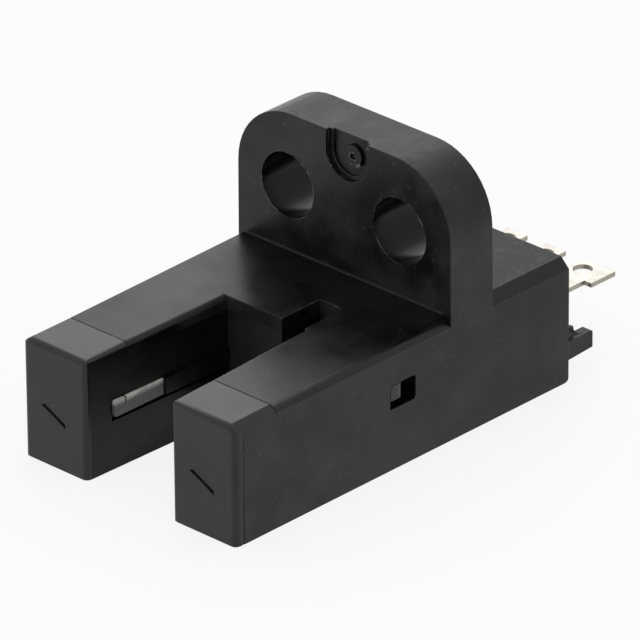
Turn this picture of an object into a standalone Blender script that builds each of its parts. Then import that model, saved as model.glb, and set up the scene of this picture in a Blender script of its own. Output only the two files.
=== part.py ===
"""Slotted photo sensor with a two-hole mounting flange.

The black case is open below. The slot cover clips in from below and brings both tip caps, both slot walls
and the floor. Inside are an infrared emitter and a photo receiver, one in each arm, with flat leads to a
small circuit board, and four flat solder terminals that leave through the rear wall.

Every size below is in millimetres, and every mesh is scaled to metres when it is made. X runs across the
slot, Y from the front of the tips to the terminals, and Z up from the flat underside. The origin is below
the middle of the overall box.
"""
import math

import bpy
import bmesh
from mathutils import Matrix, Vector

MM = 0.001

# Body
BODY_WIDTH = 13.78
BODY_HEIGHT = 6.53
BODY_LENGTH = 22.85
TIP_DROP = 0.25
CASE_WALL = 0.8
CASE_TOP = 0.8
ARM_CHAMFER_WIDTH = 0.42
ARM_CHAMFER_HEIGHT = 0.52
REAR_CHAMFER = 0.52
REAR_ROUND = 0.22
TIP_ROUND = 0.3

# Slot between the arms, with the deep notch at its back
SLOT_WIDTH = 5.0
SLOT_FLARE = 0.27
SLOT_DEPTH = 9.25
SLOT_ROUND = 0.3
NOTCH_WIDTH = 1.47
NOTCH_LENGTH = 2.6
NOTCH_FLOOR = 4.1

# Mounting flange
FLANGE_FRONT = 14.56
FLANGE_THICKNESS = 2.92
FLANGE_TOP = 13.71
FLANGE_PROUD = 0.03
FLANGE_LAP = 0.1
FLANGE_TAPER = 0.03
FLANGE_CORNER = 3.5
FLANGE_EDGE = 0.05
FLANGE_FOOT = 0.12
HOLE_DIAMETER = 3.4
HOLE_PITCH = 7.24
HOLE_HEIGHT = 9.93
GATE_WIDTH = 2.67
GATE_OFFSET = 0.25
GATE_CENTRE_DROP = 0.95
GATE_STEP_DEPTH = 0.15
GATE_STEP_WIDTH = 0.24
GATE_DEPTH = 0.3
GATE_STUB_DIAMETER = 1.16
GATE_STUB_HEIGHT = 0.12
GATE_STUB_BORE = 0.42
GATE_STUB_OFFSET = 0.2
GATE_STUB_DROP = 0.05

# Slot cover
SEAM = 0.05
CAP_LENGTH = 2.72
SIDE_LAP = 0.5
FRONT_WALL = 0.9
FLOOR = 0.8
COVER_WALL = 0.75
RIB_PROUD = 0.15
POST_DIAMETER = 1.3
POST_INSET = 0.95
PIN_DIAMETER = 0.7
MARK_DEPTH = 0.12
MARK_LENGTH = 1.57
MARK_HEIGHT = 1.52
MARK_SETBACK = 0.13
MARK_MIDDLE = 3.04

# Snap tongues of the cover and their windows in the case
SNAP_FRONT = 10.44
SNAP_WINDOW_LENGTH = 1.72
SNAP_WINDOW_LOW = 3.2
SNAP_WINDOW_HIGH = 4.44
SNAP_WINDOW_CORNER = 0.15
SNAP_NUB_LENGTH = 0.96
SNAP_NUB_HEIGHT = 0.8
SNAP_NUB_SUNK = 0.04
SNAP_NUB_ROUND = 0.4
SNAP_TONGUE = 0.5
SNAP_TONGUE_LENGTH = 1.6

# Optics
AXIS_HEIGHT = 3.225
WINDOW_FRONT = 1.72
WINDOW_LENGTH = 3.28
WINDOW_HEIGHT = 0.83
WINDOW_CORNER = 0.12
WINDOW_LIP = 0.3
WINDOW_LIP_MARGIN = 0.3
PACKAGE_THICKNESS = 1.7
PACKAGE_LENGTH = 3.4
PACKAGE_HEIGHT = 4.2
PACKAGE_BEVEL = 0.12
LENS_RADIUS = 1.0
LENS_HEIGHT = 0.35
SEAT_WIDTH = 0.5

# Leads from the two packages to the board
LEAD_THICKNESS = 0.25
LEAD_WIDTH = 0.3
LEAD_PITCH = 0.47
LEAD_SETBACK = 0.6
LEAD_SOCKET = 0.4
LEAD_LANDING = 1.3
LEAD_STUB_WIDTH = 0.4
LEAD_STUB_LENGTH = 0.35

# Circuit board
BOARD_THICKNESS = 0.8
BOARD_LENGTH = 8.6
BOARD_MARGIN = 0.25
BOARD_CORNER = 0.4
BOARD_TOP = 3.0

# Parts on the board
CHIP_LENGTH = 3.9
CHIP_WIDTH = 3.0
CHIP_HEIGHT = 1.3
CHIP_LIFT = 0.12
CHIP_TAPER = 0.12
CHIP_PARTING = 0.72
CHIP_LEG_PITCH = 0.95
CHIP_LEG_WIDTH = 0.36
CHIP_LEG_REACH = 0.75
CHIP_LEG_KNEE = 0.26
CHIP_LEG_THICKNESS = 0.16
CHIP_LEGS = 4
CHIP_SETBACK = 0.5
PASSIVE_LENGTH = 1.6
PASSIVE_WIDTH = 0.8
RESISTOR_HEIGHT = 0.45
CAPACITOR_HEIGHT = 0.75
PASSIVE_END = 0.3
PASSIVE_END_PROUD = 0.03
PASSIVE_GAP = 0.6

# Solder terminals
TERMINAL_PITCH = 2.5
TERMINAL_REACH = 5.29
TERMINAL_WIDTH = 1.3
TERMINAL_THICKNESS = 0.25
TERMINAL_LANDING = 2.2
TERMINAL_NECK = 0.25
TERMINAL_EAR = 0.7
TERMINAL_EAR_LENGTH = 1.74
SOLDER_HOLE = 0.95
SOLDER_HOLE_SETBACK = 0.86
TERMINALS = 4

# Guide pegs on the rear wall
PEG_WIDTH = 0.6
PEG_INSET = 0.1
PEG_LENGTH = 1.8
PEG_LOW = 1.03
PEG_HEIGHT = 1.03
PEG_RISE = 0.12
PEG_TIP_ROUND = 0.12
PEG_WEB = 0.24
PEG_WEB_HEIGHT = 0.54
PEG_WEB_LENGTH = 1.27
PEG_WEB_INSET = 0.08

# Sides of the round shapes
HOLE_SIDES = 40
SMALL_SIDES = 20
CORNER_STEPS = 12
ARC_STEPS = 8
ROUND_STEPS = 3
ROUND_RUN = 1.3
LENS_SEGMENTS = 24
LENS_RINGS = 16

# How far two lengths may differ and still be the same, and the angles below which faces stay as one
SAME = 0.001
SMOOTH_ANGLE = 30.0
FLAT_ANGLE = 0.5
PLANAR_ANGLE = 0.01

# Sizes that follow from those above
HALF_WIDTH = BODY_WIDTH / 2
HALF_SLOT = SLOT_WIDTH / 2
HALF_MOUTH = HALF_SLOT + SLOT_FLARE
SHOULDER = BODY_HEIGHT - ARM_CHAMFER_HEIGHT
CEILING = BODY_HEIGHT - CASE_TOP
INNER_HALF = HALF_WIDTH - CASE_WALL
COVER_HALF = INNER_HALF - SEAM
INNER_REAR = BODY_LENGTH - CASE_WALL
COVER_REAR = INNER_REAR - SEAM
FLANGE_REAR = FLANGE_FRONT + FLANGE_THICKNESS
NOTCH_LEFT = HALF_SLOT - NOTCH_WIDTH
NOTCH_BACK = SLOT_DEPTH + NOTCH_LENGTH
TOTAL_LENGTH = BODY_LENGTH + TERMINAL_REACH
METAL_LOW = BOARD_TOP + SEAM
BOARD_LOW = BOARD_TOP - BOARD_THICKNESS
BOARD_REAR = INNER_REAR - BOARD_MARGIN
BOARD_FRONT = BOARD_REAR - BOARD_LENGTH
BOARD_HALF = INNER_HALF - BOARD_MARGIN
WINDOW_LOW = AXIS_HEIGHT - WINDOW_HEIGHT / 2
WINDOW_HIGH = AXIS_HEIGHT + WINDOW_HEIGHT / 2
WINDOW_MIDDLE = WINDOW_FRONT + WINDOW_LENGTH / 2
WINDOW_END = WINDOW_FRONT + WINDOW_LENGTH
LIP_NEAR = HALF_MOUTH + COVER_WALL + SEAM
LIP_FAR = LIP_NEAR + WINDOW_LIP
PACKAGE_NEAR = LIP_FAR + SEAM + LENS_HEIGHT
PACKAGE_FAR = PACKAGE_NEAR + PACKAGE_THICKNESS
PACKAGE_LOW = AXIS_HEIGHT - PACKAGE_HEIGHT / 2
PACKAGE_REAR = WINDOW_MIDDLE + PACKAGE_LENGTH / 2
LEAD_MIDDLE = PACKAGE_NEAR + LEAD_SETBACK
LEAD_START = PACKAGE_REAR - LEAD_SOCKET
TIP_CEILING = BODY_HEIGHT - TIP_DROP - CASE_TOP

# How far a cutter runs past what it cuts, and how deep a joined shape is sunk so that no faces coincide
BEYOND = 1.0
EMBED = 0.02


def clear_scene():
    """Removes every object that the file holds."""
    for item in list(bpy.data.objects):
        bpy.data.objects.remove(item, do_unlink=True)


def new_collection(name):
    """Makes a collection in the scene."""
    collection = bpy.data.collections.new(name)
    bpy.context.scene.collection.children.link(collection)
    return collection


clear_scene()
PARTS = new_collection("photo_sensor")
TOOLS = new_collection("photo_sensor_tools")

# The whole object hangs on one empty, which puts the origin under the middle of its box
ROOT = bpy.data.objects.new("photo_sensor_root", None)
PARTS.objects.link(ROOT)
ROOT.location = (0.0, -TOTAL_LENGTH / 2 * MM, 0.0)


def material(name, colour, roughness, metallic=0.0):
    """Makes a plain material with the piece's colour, roughness and metallic value."""
    made = bpy.data.materials.new(name)
    made.use_nodes = True
    shader = made.node_tree.nodes["Principled BSDF"]
    shader.inputs["Base Color"].default_value = (*colour, 1.0)
    shader.inputs["Roughness"].default_value = roughness
    shader.inputs["Metallic"].default_value = metallic
    return made


def finish(name, bm, finish_material=None):
    """Scales a mesh to metres and makes it an object: a part with a material, or else a tool."""
    bmesh.ops.recalc_face_normals(bm, faces=bm.faces[:])
    bmesh.ops.scale(bm, vec=(MM, MM, MM), verts=bm.verts[:])
    mesh = bpy.data.meshes.new(name)
    bm.to_mesh(mesh)
    bm.free()
    made = bpy.data.objects.new(name, mesh)
    made.parent = ROOT
    if finish_material is None:
        TOOLS.objects.link(made)
        made.hide_render = True
        made.display_type = "WIRE"
    else:
        PARTS.objects.link(made)
        mesh.materials.append(finish_material)
        mesh.shade_smooth()
        mesh.set_sharp_from_angle(angle=math.radians(SMOOTH_ANGLE))
    return made


def combine(target, tool, operation):
    """Adds one exact Boolean to a part or a tool."""
    step = target.modifiers.new(tool.name, "BOOLEAN")
    step.operation = operation
    step.solver = "EXACT"
    step.object = tool


def cut(target, *tools):
    """Takes tools away from a part."""
    for tool in tools:
        combine(target, tool, "DIFFERENCE")


def join(target, *tools):
    """Joins tools to a part."""
    for tool in tools:
        combine(target, tool, "UNION")


def block(low, high):
    """Makes a box between two corners."""
    bm = bmesh.new()
    low = Vector(low)
    high = Vector(high)
    size = high - low
    placing = Matrix.Translation((low + high) / 2) @ Matrix.Diagonal((*size, 1.0))
    bmesh.ops.create_cube(bm, size=1.0, matrix=placing)
    return bm


def cylinder(centre, diameter, length, axis="Z", sides=SMALL_SIDES):
    """Makes a cylinder about its centre along one axis."""
    bm = bmesh.new()
    turn = Matrix.Identity(4)
    if axis == "Y":
        turn = Matrix.Rotation(math.radians(90), 4, "X")
    placing = Matrix.Translation(centre) @ turn
    bmesh.ops.create_cone(bm, cap_ends=True, segments=sides, radius1=diameter / 2, radius2=diameter / 2,
                          depth=length, matrix=placing)
    return bm


def arc(centre, radius, start, end, steps=ARC_STEPS):
    """Gives the points of an arc, from one angle in degrees to another."""
    points = []
    for number in range(steps + 1):
        angle = math.radians(start + (end - start) * number / steps)
        points.append((centre[0] + radius * math.cos(angle), centre[1] + radius * math.sin(angle)))
    return points


def circle(centre, diameter, sides=SMALL_SIDES):
    """Gives the points of a whole circle."""
    return arc(centre, diameter / 2, 0.0, 360.0 * (sides - 1) / sides, sides - 1)


# How an outline drawn in two numbers is turned for each direction that it is extruded in
TURNS = {
    "Z": Matrix.Identity(3),
    "Y": Matrix(((1, 0, 0), (0, 0, -1), (0, 1, 0))),
    "X": Matrix(((0, 0, 1), (1, 0, 0), (0, 1, 0))),
}


def plate(outlines, low, high, along="Z"):
    """Extrudes a filled flat curve between two levels; further outlines inside the first are holes."""
    curve = bpy.data.curves.new("outline", "CURVE")
    curve.dimensions = "2D"
    curve.fill_mode = "BOTH"
    curve.extrude = (high - low) / 2
    for points in outlines:
        spline = curve.splines.new("POLY")
        spline.points.add(len(points) - 1)
        for point, place in zip(spline.points, points):
            point.co = (place[0], place[1], 0.0, 1.0)
        spline.use_cyclic_u = True
    holder = bpy.data.objects.new("outline", curve)
    TOOLS.objects.link(holder)
    evaluated = holder.evaluated_get(bpy.context.evaluated_depsgraph_get())
    mesh = bpy.data.meshes.new_from_object(evaluated)
    bm = bmesh.new()
    bm.from_mesh(mesh)
    bpy.data.objects.remove(holder, do_unlink=True)
    bpy.data.meshes.remove(mesh)
    bmesh.ops.remove_doubles(bm, verts=bm.verts[:], dist=SAME / 2)
    if len(outlines) == 1:
        bmesh.ops.dissolve_limit(bm, angle_limit=math.radians(FLAT_ANGLE), verts=bm.verts[:],
                                 edges=bm.edges[:])
    middle = (low + high) / 2
    shift = Vector([middle if axis == along else 0.0 for axis in "XYZ"])
    for vert in bm.verts:
        vert.co = TURNS[along] @ vert.co + shift
    bmesh.ops.recalc_face_normals(bm, faces=bm.faces[:])
    return bm


def loft(rings):
    """Joins rings of equal count with side faces and closes both ends."""
    bm = bmesh.new()
    loops = [[bm.verts.new(point) for point in ring] for ring in rings]
    count = len(rings[0])
    for near, far in zip(loops, loops[1:]):
        for number in range(count):
            following = (number + 1) % count
            bm.faces.new((near[number], near[following], far[following], far[number]))
    bm.faces.new(loops[0])
    bm.faces.new(loops[-1])
    bmesh.ops.recalc_face_normals(bm, faces=bm.faces[:])
    return bm


def bevel(bm, chosen, offset, segments=1):
    """Bevels the edges that a test on their two ends picks."""
    edges = [edge for edge in bm.edges if chosen(edge.verts[0].co, edge.verts[1].co)]
    bmesh.ops.bevel(bm, geom=edges, offset=offset, offset_type="OFFSET", segments=segments, profile=0.5,
                    affect="EDGES", clamp_overlap=True)


def near(value, target):
    """Says whether two lengths are the same."""
    return abs(value - target) < SAME


def upright(first, second):
    """Says whether an edge stands upright."""
    return near(first.x, second.x) and near(first.y, second.y)


def drop(y):
    """Gives how far the arm's top has fallen from the flange to a place nearer the tip."""
    return TIP_DROP * max(0.0, 1.0 - y / FLANGE_FRONT)


def slot_wall(y):
    """Gives how far the slot's wall stands from the middle at a distance from the tips."""
    return HALF_MOUTH - SLOT_FLARE * y / SLOT_DEPTH


def body_section(y, chamfer_width, chamfer_height):
    """Gives the body's outline across the slot at one distance from the tips."""
    top = BODY_HEIGHT - drop(y)
    shoulder = BODY_HEIGHT - chamfer_height
    half_top = HALF_WIDTH - chamfer_width
    right = [(HALF_WIDTH, 0.0), (HALF_WIDTH, shoulder), (half_top, top)]
    left = [(-x, z) for x, z in reversed(right)]
    return [Vector((x, y, z)) for x, z in right + left]


def body_form():
    """Makes the outer form of the whole body, tips and case in one, before the slot is cut."""
    third = FLANGE_THICKNESS / 3
    front = (ARM_CHAMFER_WIDTH, ARM_CHAMFER_HEIGHT)
    rear = (REAR_CHAMFER, REAR_CHAMFER)
    rings = [
        body_section(0.0, *front),
        body_section(FLANGE_FRONT, *front),
        body_section(FLANGE_FRONT + third, *front),
        body_section(FLANGE_REAR - third, *rear),
        body_section(BODY_LENGTH, *rear),
    ]
    bm = loft(rings)

    def front_rim(first, second):
        both_front = near(first.y, 0.0) and near(second.y, 0.0)
        return both_front and not (near(first.z, 0.0) and near(second.z, 0.0))

    def rear_foot(first, second):
        both_rear = near(first.y, BODY_LENGTH) and near(second.y, BODY_LENGTH)
        return both_rear and near(first.z, 0.0) and near(second.z, 0.0)

    bevel(bm, front_rim, TIP_ROUND, ROUND_STEPS)
    bevel(bm, rear_foot, REAR_ROUND, ROUND_STEPS)
    bmesh.ops.connect_verts_nonplanar(bm, angle_limit=math.radians(PLANAR_ANGLE), faces=bm.faces[:])
    return bm


def slot_form():
    """Makes the slot as a solid, with its rounded mouth edges."""
    mouth = HALF_MOUTH + TIP_ROUND
    right_mouth = arc((mouth, TIP_ROUND), TIP_ROUND, 180.0, 270.0, ROUND_STEPS)
    right = [(HALF_SLOT, SLOT_DEPTH)] + right_mouth + [(mouth, -BEYOND)]
    left = [(-x, y) for x, y in reversed(right)]
    return plate([right + left], -BEYOND, BODY_HEIGHT + BEYOND)


def notch_form():
    """Makes the notch at the back of the slot as a solid."""
    return block((NOTCH_LEFT, SLOT_DEPTH - COVER_WALL / 2, NOTCH_FLOOR),
                 (HALF_SLOT, NOTCH_BACK, BODY_HEIGHT + BEYOND))


def round_outline(centre, radius, start, end):
    """Gives a coarse arc whose two end chords run on past it, so that a tool leaves no sliver."""
    curve = [Vector(point) for point in arc(centre, radius, start, end, ROUND_STEPS)]
    return [curve[1].lerp(curve[0], ROUND_RUN)] + curve[1:-1] + [curve[-2].lerp(curve[-1], ROUND_RUN)]


def slot_round_form(side):
    """Makes the solid that rounds the top edge of one arm along the slot."""
    rings = []
    for y in (-BEYOND, SLOT_DEPTH):
        wall = slot_wall(y)
        top = BODY_HEIGHT - drop(y)
        outline = round_outline((wall + SLOT_ROUND, top - SLOT_ROUND), SLOT_ROUND, 180.0, 90.0)
        outline.append(Vector((wall - SLOT_ROUND, top + SLOT_ROUND)))
        rings.append([Vector((side * point.x, y, point.y)) for point in outline])
    return loft(rings)


def slot_tools(name):
    """Gives the tools that open the slot in a body and round its edges."""
    rounds = [finish(f"{name}_slot_round_{side}", slot_round_form(side)) for side in (-1, 1)]
    return [finish(name + "_slot", slot_form()), finish(name + "_notch", notch_form())] + rounds


def flange_form():
    """Makes the upright flange, with its tapered sides, round corners and eased rim."""
    half_foot = HALF_WIDTH + FLANGE_PROUD
    half_top = half_foot - FLANGE_TAPER
    root = SHOULDER - FLANGE_LAP
    corner = (half_top - FLANGE_CORNER, FLANGE_TOP - FLANGE_CORNER)
    right = [(half_foot, root)] + arc(corner, FLANGE_CORNER, 0.0, 90.0, CORNER_STEPS)
    left = [(-x, z) for x, z in reversed(right)]
    bm = plate([right + left], FLANGE_FRONT, FLANGE_REAR, "Y")

    def rim(first, second):
        same_face = near(first.y, second.y)
        return same_face and not (near(first.z, root) and near(second.z, root))

    bevel(bm, rim, FLANGE_EDGE, ROUND_STEPS)
    return bm


def flange_foot_form():
    """Makes the small fillet between the front of the flange and the top of the body."""
    centre = (FLANGE_FRONT - FLANGE_FOOT, BODY_HEIGHT + FLANGE_FOOT)
    outline = round_outline(centre, FLANGE_FOOT, 0.0, -90.0)
    outline.append(Vector((FLANGE_FRONT + CASE_TOP / 4, BODY_HEIGHT - CASE_TOP / 4)))
    half = HALF_WIDTH - ARM_CHAMFER_WIDTH - FLANGE_EDGE
    return plate([outline], -half, half, "X")


def gate_form(width, depth):
    """Makes the gate recess as a solid: straight sides, round below and open above."""
    height = FLANGE_TOP - GATE_CENTRE_DROP
    left = GATE_OFFSET - width / 2
    right = GATE_OFFSET + width / 2
    outline = [(left, FLANGE_TOP + BEYOND)] + arc((GATE_OFFSET, height), width / 2, 180.0, 360.0, 2 * ARC_STEPS)
    outline.append((right, FLANGE_TOP + BEYOND))
    return plate([outline], FLANGE_FRONT - BEYOND, FLANGE_FRONT + depth, "Y")


def gate_stub_form():
    """Makes the low ring that the mould's gate leaves in its recess where it breaks off."""
    centre = (GATE_OFFSET + GATE_STUB_OFFSET, FLANGE_TOP - GATE_CENTRE_DROP - GATE_STUB_DROP)
    floor = FLANGE_FRONT + GATE_DEPTH
    outlines = [circle(centre, GATE_STUB_DIAMETER), circle(centre, GATE_STUB_BORE)]
    return plate(outlines, floor - GATE_STUB_HEIGHT, floor + CASE_WALL / 4, "Y")


def peg_form(side):
    """Makes one guide peg on the rear wall."""
    root = BODY_LENGTH - CASE_WALL / 2
    tip = BODY_LENGTH + PEG_LENGTH
    top = PEG_LOW + PEG_HEIGHT
    corner = (tip - PEG_TIP_ROUND, top - PEG_TIP_ROUND)
    outline = [(root, PEG_LOW), (tip, PEG_LOW + PEG_RISE)] + arc(corner, PEG_TIP_ROUND, 0.0, 90.0,
                                                                          ROUND_STEPS)
    outline.append((root, top))
    outer = HALF_WIDTH - PEG_INSET
    near_x, far_x = sorted((side * outer, side * (outer - PEG_WIDTH)))
    return plate([outline], near_x, far_x, "X")


def peg_web_form(side):
    """Makes the web that braces a peg on its inner side and ends in a hollow curve."""
    root = BODY_LENGTH - CASE_WALL / 3
    end = BODY_LENGTH + PEG_WEB_LENGTH
    top = PEG_LOW + PEG_HEIGHT - EMBED
    lap = PEG_HEIGHT / 3
    curve = arc((end, top + PEG_WEB_HEIGHT), PEG_WEB_HEIGHT, 270.0, 180.0, ARC_STEPS // 2)
    outline = [(root, top - lap), (end, top - lap)] + curve + [(root, top + PEG_WEB_HEIGHT)]
    inner = HALF_WIDTH - PEG_INSET - PEG_WIDTH + PEG_WEB_INSET
    near_x, far_x = sorted((side * inner, side * (inner + PEG_WEB)))
    return plate([outline], near_x, far_x, "X")


def terminal_place(number):
    """Gives a terminal's distance from the middle."""
    return (number - (TERMINALS - 1) / 2) * TERMINAL_PITCH


def terminal_neck(number):
    """Gives how far a terminal's neck reaches to its left and right; the outer ones are wider outside."""
    half = TERMINAL_WIDTH / 2
    left = half + (TERMINAL_NECK if number == 0 else 0.0)
    right = half + (TERMINAL_NECK if number == TERMINALS - 1 else 0.0)
    return left, right


def snap_window_form(near_x, far_x):
    """Makes the opening in a side wall for a nub, with its two rear corners rounded."""
    rear = SNAP_FRONT + SNAP_WINDOW_LENGTH
    bm = block((near_x, SNAP_FRONT, SNAP_WINDOW_LOW), (far_x, rear, SNAP_WINDOW_HIGH))

    def rear_corner(first, second):
        across = near(first.z, second.z)
        return across and near(first.y, rear) and near(second.y, rear)

    bevel(bm, rear_corner, SNAP_WINDOW_CORNER, ROUND_STEPS)
    return bm


def make_case():
    """Models the case: side walls, top, rear wall, flange and pegs in one moulding."""
    case = finish("case", body_form(), BLACK_PBT)
    cavity = block((-INNER_HALF, -BEYOND, -BEYOND), (INNER_HALF, INNER_REAR, CEILING))
    cut(case, *slot_tools("case"), finish("case_cavity", cavity))
    front = block((-HALF_WIDTH - BEYOND, -BEYOND, -BEYOND),
                  (HALF_WIDTH + BEYOND, SIDE_LAP + SEAM, BODY_HEIGHT + BEYOND))
    cap_room = block((-HALF_WIDTH - BEYOND, -BEYOND, SHOULDER - 2 * SEAM),
                     (HALF_WIDTH + BEYOND, CAP_LENGTH + SEAM, BODY_HEIGHT + BEYOND))
    cap_root = block((-INNER_HALF, -BEYOND, CEILING - BEYOND),
                     (INNER_HALF, CAP_LENGTH + SEAM, BODY_HEIGHT + BEYOND))
    cut(case, finish("case_front", front), finish("case_cap_room", cap_room),
        finish("case_cap_root", cap_root))
    join(case, finish("case_flange", flange_form()), finish("case_flange_foot", flange_foot_form()))
    for side in (-1, 1):
        hole = cylinder((side * HOLE_PITCH / 2, (FLANGE_FRONT + FLANGE_REAR) / 2, HOLE_HEIGHT),
                        HOLE_DIAMETER, FLANGE_THICKNESS + 2 * BEYOND, "Y", HOLE_SIDES)
        cut(case, finish(f"case_hole_{side}", hole))
        near_x, far_x = sorted((side * (INNER_HALF - BEYOND / 2), side * (HALF_WIDTH + BEYOND)))
        cut(case, finish(f"case_snap_window_{side}", snap_window_form(near_x, far_x)))
        join(case, finish(f"case_peg_{side}", peg_form(side)))
        join(case, finish(f"case_peg_web_{side}", peg_web_form(side)))
    inner_gate = GATE_WIDTH - 2 * GATE_STEP_WIDTH
    cut(case, finish("case_gate_step", gate_form(GATE_WIDTH, GATE_STEP_DEPTH)),
        finish("case_gate", gate_form(inner_gate, GATE_DEPTH)))
    join(case, finish("case_gate_stub", gate_stub_form()))
    for number in range(TERMINALS):
        left, right = terminal_neck(number)
        middle = terminal_place(number)
        opening = block((middle - left - SEAM, INNER_REAR - BEYOND / 2, METAL_LOW - SEAM),
                        (middle + right + SEAM, BODY_LENGTH + BEYOND / 2, METAL_LOW + TERMINAL_THICKNESS + SEAM))
        cut(case, finish(f"case_terminal_slot_{number + 1}", opening))
    return case


def slot_band_form():
    """Makes the solid whose shell becomes the cover's slot walls."""
    near_wall = slot_wall(SIDE_LAP) + COVER_WALL
    back = SLOT_DEPTH + COVER_WALL
    right = [(HALF_SLOT + COVER_WALL, back), (near_wall, SIDE_LAP)]
    left = [(-x, y) for x, y in reversed(right)]
    return plate([right + left], 0.0, CEILING - SEAM)


def notch_band_form():
    """Makes the solid whose shell becomes the walls and floor of the notch."""
    return block((NOTCH_LEFT - COVER_WALL, SLOT_DEPTH, NOTCH_FLOOR - COVER_WALL),
                 (HALF_SLOT + COVER_WALL, NOTCH_BACK + COVER_WALL, CEILING - SEAM))


def rib_form(side):
    """Makes the raised rib that runs on from the window along one slot wall."""
    sunk = COVER_WALL / 2
    start = WINDOW_END - SEAM
    outline = [
        (side * (slot_wall(start) - RIB_PROUD), start),
        (side * (slot_wall(SLOT_DEPTH) - RIB_PROUD), SLOT_DEPTH + sunk),
        (side * (slot_wall(SLOT_DEPTH) + sunk), SLOT_DEPTH + sunk),
        (side * (slot_wall(start) + sunk), start),
    ]
    return plate([outline], WINDOW_LOW, WINDOW_HIGH)


def window_outline(grow=0.0):
    """Gives the window's outline along the slot wall, with its two rounded front corners."""
    front = WINDOW_FRONT - grow
    end = WINDOW_END + grow
    low = WINDOW_LOW - grow
    high = WINDOW_HIGH + grow
    radius = WINDOW_CORNER + grow
    upper = arc((front + radius, high - radius), radius, 90.0, 180.0, ARC_STEPS // 2)
    lower = arc((front + radius, low + radius), radius, 180.0, 270.0, ARC_STEPS // 2)
    return upper + lower + [(end, low), (end, high)]


def snap_tongue_form(side):
    """Makes one springy tongue that stands on the cover's floor."""
    middle = SNAP_FRONT + SEAM + SNAP_NUB_LENGTH / 2
    near_x, far_x = sorted((side * (COVER_HALF - SNAP_TONGUE), side * COVER_HALF))
    bm = block((near_x, middle - SNAP_TONGUE_LENGTH / 2, FLOOR / 2),
               (far_x, middle + SNAP_TONGUE_LENGTH / 2, SNAP_WINDOW_HIGH - SEAM))
    return bm


def snap_nub_form(side):
    """Makes the nub of a tongue, which catches in the case's window."""
    root = COVER_HALF - SNAP_TONGUE / 2
    tip = HALF_WIDTH - SNAP_NUB_SUNK
    near_x, far_x = sorted((side * root, side * tip))
    front = SNAP_FRONT + SEAM
    rear = front + SNAP_NUB_LENGTH
    high = SNAP_WINDOW_HIGH - SEAM
    bm = block((near_x, front, high - SNAP_NUB_HEIGHT), (far_x, rear, high))

    def rear_outer(first, second):
        outer = near(first.x, side * tip) and near(second.x, side * tip)
        return outer and near(first.y, rear) and near(second.y, rear)

    bevel(bm, rear_outer, SNAP_NUB_ROUND, ROUND_STEPS)
    return bm


def mark_form(side):
    """Makes the sunk triangle that marks the optical axis on one tip."""
    middle = side * (HALF_MOUTH + HALF_WIDTH) / 2 - MARK_SETBACK
    right = middle + MARK_LENGTH / 2
    outline = [
        (middle - MARK_LENGTH / 2, MARK_MIDDLE),
        (right, MARK_MIDDLE - MARK_HEIGHT / 2),
        (right, MARK_MIDDLE + MARK_HEIGHT / 2),
    ]
    return plate([outline], -BEYOND, MARK_DEPTH, "Y")


def make_cover():
    """Models the slot cover: floor, slot walls, tip caps, board posts and snap tongues in one moulding."""
    floor = block((-COVER_HALF, FRONT_WALL / 2, 0.0), (COVER_HALF, COVER_REAR, FLOOR))
    cover = finish("slot_cover", floor, DARK_POLYCARBONATE)
    join(cover, finish("cover_slot_band", slot_band_form()), finish("cover_notch_band", notch_band_form()))
    tips = finish("cover_tips", body_form())
    behind = block((-HALF_WIDTH - BEYOND, CAP_LENGTH, -BEYOND),
                   (HALF_WIDTH + BEYOND, BODY_LENGTH + BEYOND, BODY_HEIGHT + BEYOND))
    cut(tips, finish("cover_behind_tips", behind))
    for side in (-1, 1):
        near_x, far_x = sorted((side * COVER_HALF, side * (HALF_WIDTH + BEYOND)))
        panel_room = block((near_x, SIDE_LAP, -BEYOND), (far_x, CAP_LENGTH + BEYOND, SHOULDER - SEAM))
        near_x, far_x = sorted((side * (slot_wall(FRONT_WALL) + COVER_WALL), side * (HALF_WIDTH + BEYOND)))
        hollow = block((near_x, FRONT_WALL, FLOOR), (far_x, CAP_LENGTH + BEYOND, TIP_CEILING))
        cut(tips, finish(f"cover_panel_room_{side}", panel_room), finish(f"cover_tip_hollow_{side}", hollow))
    join(cover, tips)
    cut(cover, *slot_tools("cover"))
    for side in (-1, 1):
        join(cover, finish(f"cover_rib_{side}", rib_form(side)))
        near_x, far_x = sorted((side * (HALF_SLOT - BEYOND), side * LIP_NEAR))
        aperture = plate([window_outline(SEAM)], near_x, far_x, "X")
        cut(cover, finish(f"cover_aperture_{side}", aperture))
        join(cover, finish(f"cover_tongue_{side}", snap_tongue_form(side)))
        join(cover, finish(f"cover_nub_{side}", snap_nub_form(side)))
        cut(cover, finish(f"cover_mark_{side}", mark_form(side)))
        seat_low = FLOOR / 2
        for end in (-1, 1):
            seat_y = WINDOW_MIDDLE + end * (PACKAGE_LENGTH / 2 - SEAT_WIDTH)
            near_x, far_x = sorted((side * PACKAGE_NEAR, side * (COVER_HALF - SEAM)))
            seat = block((near_x, seat_y - SEAT_WIDTH / 2, seat_low),
                         (far_x, seat_y + SEAT_WIDTH / 2, PACKAGE_LOW - SEAM))
            join(cover, finish(f"cover_seat_{side}_{end}", seat))
        post_x = side * (BOARD_HALF - POST_INSET)
        post_height = BOARD_LOW - SEAM - seat_low
        for number, post_y in enumerate((BOARD_FRONT + POST_INSET, BOARD_REAR - POST_INSET)):
            post = cylinder((post_x, post_y, seat_low + post_height / 2), POST_DIAMETER, post_height)
            join(cover, finish(f"cover_post_{side}_{number}", post))
        pin_height = BOARD_TOP - seat_low
        pin = cylinder((post_x, BOARD_REAR - POST_INSET, seat_low + pin_height / 2), PIN_DIAMETER, pin_height)
        join(cover, finish(f"cover_pin_{side}", pin))
    return cover


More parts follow.
